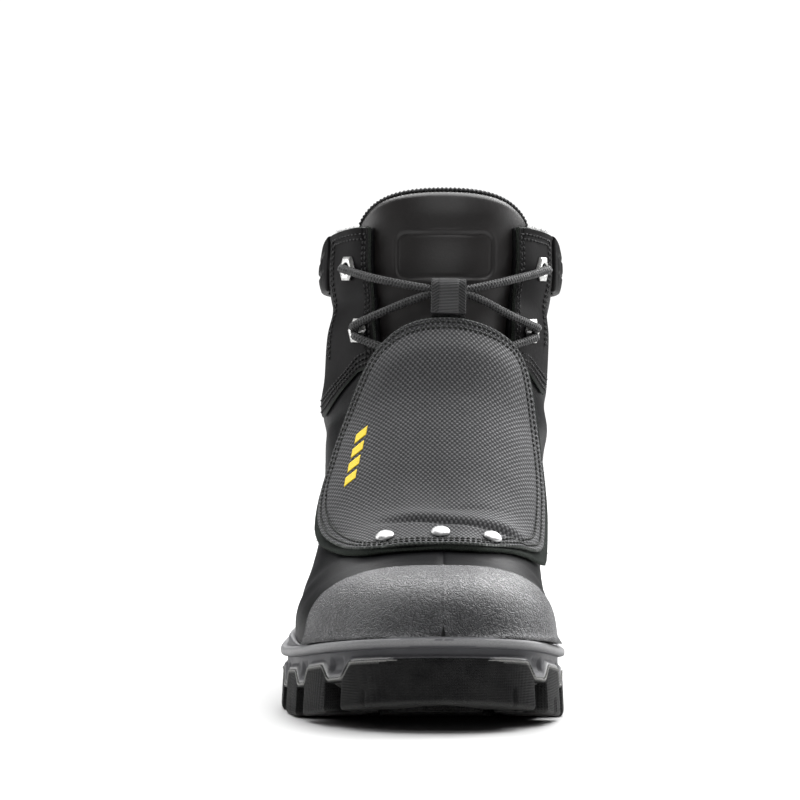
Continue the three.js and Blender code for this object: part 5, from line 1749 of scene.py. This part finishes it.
def make_marks():
    """Thin slanted bars laid on the cover, one above the other, each a small grid."""
    grids, faces, uv = [], [], []
    a, b = np.meshgrid(np.linspace(-1, 1, 14), np.linspace(-1, 1, 10))
    for k in range(MARK_DASHES):
        up = 61.0 + 7.2 * k
        x = -36.6 + 0.2 * (up - 61.0) + 2.3 * a + 0.35 * b
        flat = np.stack([x, up + 2.3 * b + 1.1 * a], -1)
        bar = []
        for height in (0.22, 0.02):
            bar.append(over_cover(flat, height)[0])
        start = 2 * a.size * k
        top = quads(*a.shape, start=start)
        faces += [top, top[:, ::-1] + a.size, rim_faces(*a.shape, start)]
        grids += [part.reshape(-1, 3) for part in bar]
        uv += [flat.reshape(-1, 2)] * 2
    return make_object("guard_marks", np.concatenate(grids), np.concatenate(faces), np.concatenate(uv))


def printed_ink():
    """Yellow ink, worn through in small chips."""
    material, n = node_material("yellow_ink", (0.75, 0.52, 0.01), 0.5)
    chips = n.noise(n.millimetres(), 1.6, 3.0, 0.6)
    colour = n.mix(n.levels(chips, 0.3, 0.42), (0.3, 0.22, 0.02), (0.78, 0.56, 0.012))
    n.surface(colour, 0.5, n.bump(chips, 0.1))
    return material


fit(make_marks(), "flap_fabric", [printed_ink()])

# Rivets: domed steel caps over shanks that are closed inside the boot, nickel plated.


def metal(name, colour, roughness, scratch):
    """Plated metal: fine scratches in its gloss and faint dull spots."""
    material, n = node_material(name, colour, roughness)
    n.shader.inputs["Metallic"].default_value = 1.0
    where = n.millimetres()
    lines = n.noise(n.mapping(where, (0.4, 3.0, 1.0), 0.6), 1.3, 4.0, 0.7)
    spots = n.noise(where, 0.5, 4.0, 0.6)
    n.surface(
        n.mix(n.levels(spots, 0.5, 0.75), colour, times(colour, 0.6)),
        n.levels(lines, 0.3, 0.7, roughness - 0.08, roughness + 0.12),
        n.bump(lines, scratch),
    )
    return material


def standing(place, turn):
    """Axes at a place of the skin: two along it and its normal."""
    normal = skin_normal(place, turn)
    side = np.cross((0.0, 0.0, 1.0), normal)
    side = side / np.linalg.norm(side)
    return skin(place, turn), side, np.cross(normal, side), normal


def lathe(name, profile, place, turn, around, shape=None):
    """A profile of (radius, height) turned round the skin's normal; shape may change the
    radius of each ring by its angle."""
    origin, side, up, normal = standing(place, turn)
    angle = np.arange(around) * 2 * np.pi / around
    profile = np.asarray(profile, float)
    radius = profile[:, :1] * np.ones(around)
    if shape is not None:
        radius = shape(radius, angle)
    points = (
        origin
        + radius[..., None] * (np.cos(angle)[:, None] * side + np.sin(angle)[:, None] * up)
        + profile[:, 1, None, None] * normal
    )
    uv = np.stack(np.broadcast_arrays(angle[None, :] * 4, profile[:, 1:]), -1)
    faces = quads(len(profile), around, round_=True)
    thing = make_object(name, points.reshape(-1, 3), faces, uv.reshape(-1, 2))
    weld(thing)
    face_outwards(thing)
    return thing


RIVET_SEAT = GAP + BACKING_THICK + GAP + COVER_THICK
RIVET_RISE = 2.2
RIVET_SHANK = 1.5
dome_angle = np.linspace(0, np.pi / 2, 14)[:-1]
rivet_half = RIVET_HEAD / 2
DOME = [(0.0, RIVET_SEAT - 3.5), (RIVET_SHANK, RIVET_SEAT - 3.5), (RIVET_SHANK, RIVET_SEAT - 0.4)]
DOME += [(rivet_half - 0.5, RIVET_SEAT - 0.4), (rivet_half - 0.05, RIVET_SEAT - 0.2)]
DOME += [(rivet_half * math.cos(a), RIVET_SEAT + RIVET_RISE * math.sin(a)) for a in dome_angle]
DOME += [(0.0, RIVET_SEAT + RIVET_RISE)]
RIVET_METAL = metal("rivet_metal", (0.55, 0.55, 0.55), 0.42, 0.02)
for node, place, turn in zip(RIVETS, RIVET_PLACE, RIVET_TURN):
    fit(lathe(node + "_dome", DOME, place, turn, 40), "rivet_metal", [RIVET_METAL], node)

# Eyelets: hexagonal flanges of plated steel on barrels that are set through the eyestay.

EYELET_FLATS = 10.5
EYELET_BORE = 5.0
EYELET_FLANGE = 1.2
EYELET_SEAT = GAP + OVERLAY_THICK + GAP
EYELETS = {
    "eyelet_lateral_top": (-0.4 * SHAFT_WIDTH, COLLAR_HEIGHT - 18),
    "eyelet_lateral_low": (-0.355 * SHAFT_WIDTH, COLLAR_HEIGHT - 45),
    "eyelet_medial_top": (0.41 * SHAFT_WIDTH, COLLAR_HEIGHT - 18),
    "eyelet_medial_low": (0.365 * SHAFT_WIDTH, COLLAR_HEIGHT - 45),
}


def hexagon(radius, angle):
    """Rings wider than the bore's lip take a hexagon's outline, with a flat top and foot."""
    sector = np.mod(angle + np.pi / 3, np.pi / 3) - np.pi / 6
    flat_side = 1 / np.cos(sector)
    share = np.clip((radius - EYELET_BORE / 2 - 0.7) / 0.8, 0, 1)
    return radius * (1 - share + share * flat_side)


def eyelet_profile():
    half, bore, top = EYELET_FLATS / 2, EYELET_BORE / 2, EYELET_SEAT + EYELET_FLANGE
    seat = EYELET_SEAT + 0.05
    turns = np.linspace(np.pi / 2, -0.4, 7)
    lip = [(bore + 0.75 - 0.75 * math.cos(a), top + 0.45 * math.sin(a)) for a in turns]
    return [
        (bore + 0.8, -WALL),
        (bore + 0.8, seat),
        (half - 0.15, seat),
        (half, EYELET_SEAT + 0.3),
        (half - 0.1, top - 0.35),
        (half - 0.65, top),
        (bore + 1.5, top + 0.3),
        *lip,
        (bore, top - 0.6),
        (bore, -WALL),
        (bore + 0.8, -WALL),
    ]


EYELET_METAL = metal("eyelet_metal", (0.48, 0.48, 0.47), 0.3, 0.015)
for node, (x, z) in EYELETS.items():
    place, turn = place_where(x, z, height_of)
    ring = lathe(node + "_ring", eyelet_profile(), place, turn, 48, hexagon)
    ring.data.polygons.foreach_set("use_smooth", np.zeros(len(ring.data.polygons), bool))
    fit(ring, "eyelet_metal", [EYELET_METAL], node)

# Pull tab: a loop of ribbed webbing sewn to the top of the flap; the lace runs through it.

LACE_DIAMETER = 3.5
TAB_WIDTH = 15.0
TAB_HEIGHT = 15.0
TAB_THICK = 1.5
TAB_RIB = 1.35
TAB_SLANT = 1.1
TAB_MIDDLE = 0.56
TAB_X = 0.017 * SHAFT_WIDTH
TAB_BACK = GUARD_LIFT - TAB_THICK - 5 * GAP
TAB_ROOM = LACE_DIAMETER + 5 * GAP


def make_tab():
    """A strap whose middle line climbs behind the lace, turns over in a half circle and comes
    down in front, with ribs across its middle and slanting ribs along both selvedges."""
    place, turn = place_where(np.array(TAB_X), np.array(COLLAR_HEIGHT - 39), height_of)
    origin, normal = skin(place, turn), skin_normal(place, turn)
    along = skin(place + 0.01, turn) - skin(place - 0.01, turn)
    along = along / np.linalg.norm(along)
    side = np.cross(along, normal)
    back = TAB_BACK + TAB_THICK / 2
    front = back + TAB_THICK + TAB_ROOM
    radius = (front - back) / 2
    top = TAB_HEIGHT - radius - TAB_THICK / 2
    bend = np.linspace(np.pi, 0, 26)[1:-1]
    out = np.concatenate([np.full(30, back), (back + front) / 2 + radius * np.cos(bend), np.full(30, front)])
    up = np.concatenate([np.linspace(-8, top, 30), top + radius * np.sin(bend), np.linspace(top, -1.5, 30)])
    run = np.concatenate([[0], np.cumsum(np.hypot(np.diff(out), np.diff(up)))])
    at = np.linspace(0, run[-1], 190)
    out, up = np.interp(at, run, out), np.interp(at, run, up)
    ahead_out, ahead_up = np.gradient(out), np.gradient(up)
    length = np.hypot(ahead_out, ahead_up)
    face_out, face_up = ahead_up / length, -ahead_out / length
    across = 2 * dense_ends(34, 0.03) - 1
    middle = np.abs(across) < TAB_MIDDLE
    ribs = np.sin(at[:, None] * 2 * np.pi / TAB_RIB)
    slant = np.sin((at[:, None] * 0.8 + np.abs(across)[None, :] * TAB_WIDTH) * 2 * np.pi / TAB_SLANT)
    relief = np.where(middle[None, :], 0.34 * np.abs(ribs) ** 0.7, 0.24 * slant)
    dip = -0.15 * hill(np.abs(across), TAB_MIDDLE, 0.05)[None, :]
    rise = np.maximum(0.2, edge_rise(34))[None, :]
    grids = []
    for sign in (-1, 1):
        offset = sign * (TAB_THICK / 2 * rise + relief + dip - 0.1)
        grids.append(
            origin
            + side * (across * TAB_WIDTH / 2)[None, :, None]
            + normal * (out[:, None] + face_out[:, None] * offset)[..., None]
            + along * (up[:, None] + face_up[:, None] * offset)[..., None]
        )
    uv = np.stack(np.broadcast_arrays(across[None, :] * TAB_WIDTH / 2, at[:, None]), -1)
    return closed_panel("pull_tab_webbing", grids[0], grids[1], uv)


def ribbed(name, colour, roughness):
    """Ribbed webbing: painted shade in the grooves and a painted highlight on the same ribs as
    the shape, level in the middle and slanting along both selvedges."""
    material, n = node_material(name, colour, roughness)
    across, run, _ = n.add("ShaderNodeSeparateXYZ", {0: n.uv()}).outputs
    outside = n.maths("ABSOLUTE", across)
    level = n.maths("ABSOLUTE", n.maths("SINE", n.maths("MULTIPLY", run, 2 * math.pi / TAB_RIB)))
    slope = n.maths("ADD", n.maths("MULTIPLY", run, 0.8), n.maths("MULTIPLY", outside, 2.0))
    wave = n.maths("SINE", n.maths("MULTIPLY", slope, 2 * math.pi / TAB_SLANT))
    slant = n.maths("MULTIPLY_ADD", wave, 0.5, 0.5)
    selvedge = n.maths("GREATER_THAN", outside, TAB_MIDDLE / 2 * TAB_WIDTH)
    ribs = n.add("ShaderNodeMix", {0: selvedge, 2: level, 3: slant}).outputs[0]
    fibre = n.noise(n.millimetres(), 4.0, 3.0, 0.7)
    # Painted shade and highlight: the colour runs from 0.25 to 1.4 of itself with the rib height.
    n.surface(
        n.mix(ribs, times(colour, 0.25), times(colour, 1.4)),
        roughness,
        n.bump(fibre, 0.1, n.bump(ribs, 0.2)),
    )
    return material


TAB_WEBBING = ribbed("tab_webbing", (0.032, 0.032, 0.033), 0.7)
fit(make_tab(), "webbing", [TAB_WEBBING], "pull_tab")

# Lace: one round braided cord. Each end comes out of a top eyelet, crosses in front of the
# tongue through the pull tab and goes into the low eyelet of the other side; from there a
# bar of it runs under the flap.

BRAID_PITCH = 1.5
LACE_SEAT = EYELET_SEAT + EYELET_FLANGE + 2 * GAP + LACE_DIAMETER / 2
LACE_IN_TAB = TAB_BACK + TAB_THICK + TAB_ROOM / 2 + GAP


def lace_path(points):
    """A smooth curve through points given by x, height and lift off the skin, which turns
    down into the eyelets at both ends."""
    x, z, lift = np.array(points, float).T
    x, z = (np.concatenate([k[:1], k[:1], k, k[-1:], k[-1:]]) for k in (x, z))
    lift = np.concatenate([[-1.5, 2.6], lift, [2.6, -1.5]])
    place, turn = place_where(x, z, height_of)
    corners = off_skin(place, turn, lift)
    path = through(corners, np.linspace(0, len(corners) - 1, 1200))
    run = run_along(path)
    at = np.arange(0, run[-1], 0.36)
    return read_along(path, run, at), at


def braid(name, points):
    """A round tube whose surface rises and falls as two sets of strands, wound both ways,
    cross over and under: the larger of |sin(s + 2a)| and |sin(s - 2a + 0.8)|."""
    path, at = lace_path(points)
    side, up = frames_along(path, np.array([0.0, -1.0, 0.35]))
    angle = np.arange(20) * 2 * np.pi / 20
    s = at[:, None] * np.pi / BRAID_PITCH
    strands = np.maximum(np.abs(np.sin(s + 2 * angle)), np.abs(np.sin(s - 2 * angle + 0.8)))
    radius = LACE_DIAMETER / 2 - 0.05 + 0.55 * (strands - 0.75)
    return sweep(name, path, side, up, radius, radius)



def braided(name, colour, roughness):
    """Braided cord: the same two sets of strands as the shape, with painted shade between them and a painted
    highlight on top.
    """
    material, n = node_material(name, colour, roughness)
    run, angle, _ = n.add("ShaderNodeSeparateXYZ", {0: n.uv()}).outputs
    s = n.maths("MULTIPLY", run, math.pi / BRAID_PITCH)
    wound = n.maths("MULTIPLY", angle, 2.0)
    one = n.maths("ABSOLUTE", n.maths("SINE", n.maths("ADD", s, wound)))
    other = n.maths("ABSOLUTE", n.maths("SINE", n.maths("SUBTRACT", n.maths("ADD", s, 0.8), wound)))
    strands = n.levels(n.maths("MAXIMUM", one, other), 0.6, 1.0)
    fibre = n.noise(n.millimetres(), 4.0, 3.0, 0.7)
    # Painted shade and highlight: the colour runs from 0.2 to 1.6 of itself with the strand height.
    n.surface(
        n.mix(strands, times(colour, 0.2), times(colour, 1.6)),
        roughness,
        n.bump(fibre, 0.1, n.bump(strands, 0.25)),
    )
    return material


LACE_CORD = braided("lace_cord", (0.015, 0.015, 0.0155), 0.5)


def lace_across(side):
    """The points of a stretch from the top eyelet of one side to the low one of the other."""
    names = ("lateral", "medial") if side < 0 else ("medial", "lateral")
    top, low = EYELETS[f"eyelet_{names[0]}_top"], EYELETS[f"eyelet_{names[1]}_low"]
    cross = COLLAR_HEIGHT - 30
    return [
        (top[0] * 0.98, top[1] - 0.5, LACE_SEAT),
        (side * 25, cross + 6.5, 6.6),
        (TAB_X + side * 8, cross + 1.5, LACE_IN_TAB),
        (TAB_X - side * 8, cross - 1.5, LACE_IN_TAB),
        (-side * 25, cross - 9, 6.4),
        (low[0] * 0.98, low[1] + 1.5, LACE_SEAT),
    ]


def lace_under():
    lateral, medial = EYELETS["eyelet_lateral_low"], EYELETS["eyelet_medial_low"]
    return [
        (lateral[0] * 0.96, lateral[1] - 3, LACE_SEAT),
        (-28.5, lateral[1] - 6, 4.4),
        (-19, lateral[1] - 9, 1.5),
        (0, lateral[1] - 12, 0.2),
        (19, medial[1] - 9, 1.5),
        (28.5, medial[1] - 6, 4.4),
        (medial[0] * 0.96, medial[1] - 3, LACE_SEAT),
    ]


for name, points, nodes in (
    ("lace_first", lace_across(-1), ["lace_cross"]),
    ("lace_second", lace_across(1), []),
    ("lace_under_flap", lace_under(), ["lace_bar"]),
):
    fit(braid(name, points), "webbing", [LACE_CORD], *nodes)
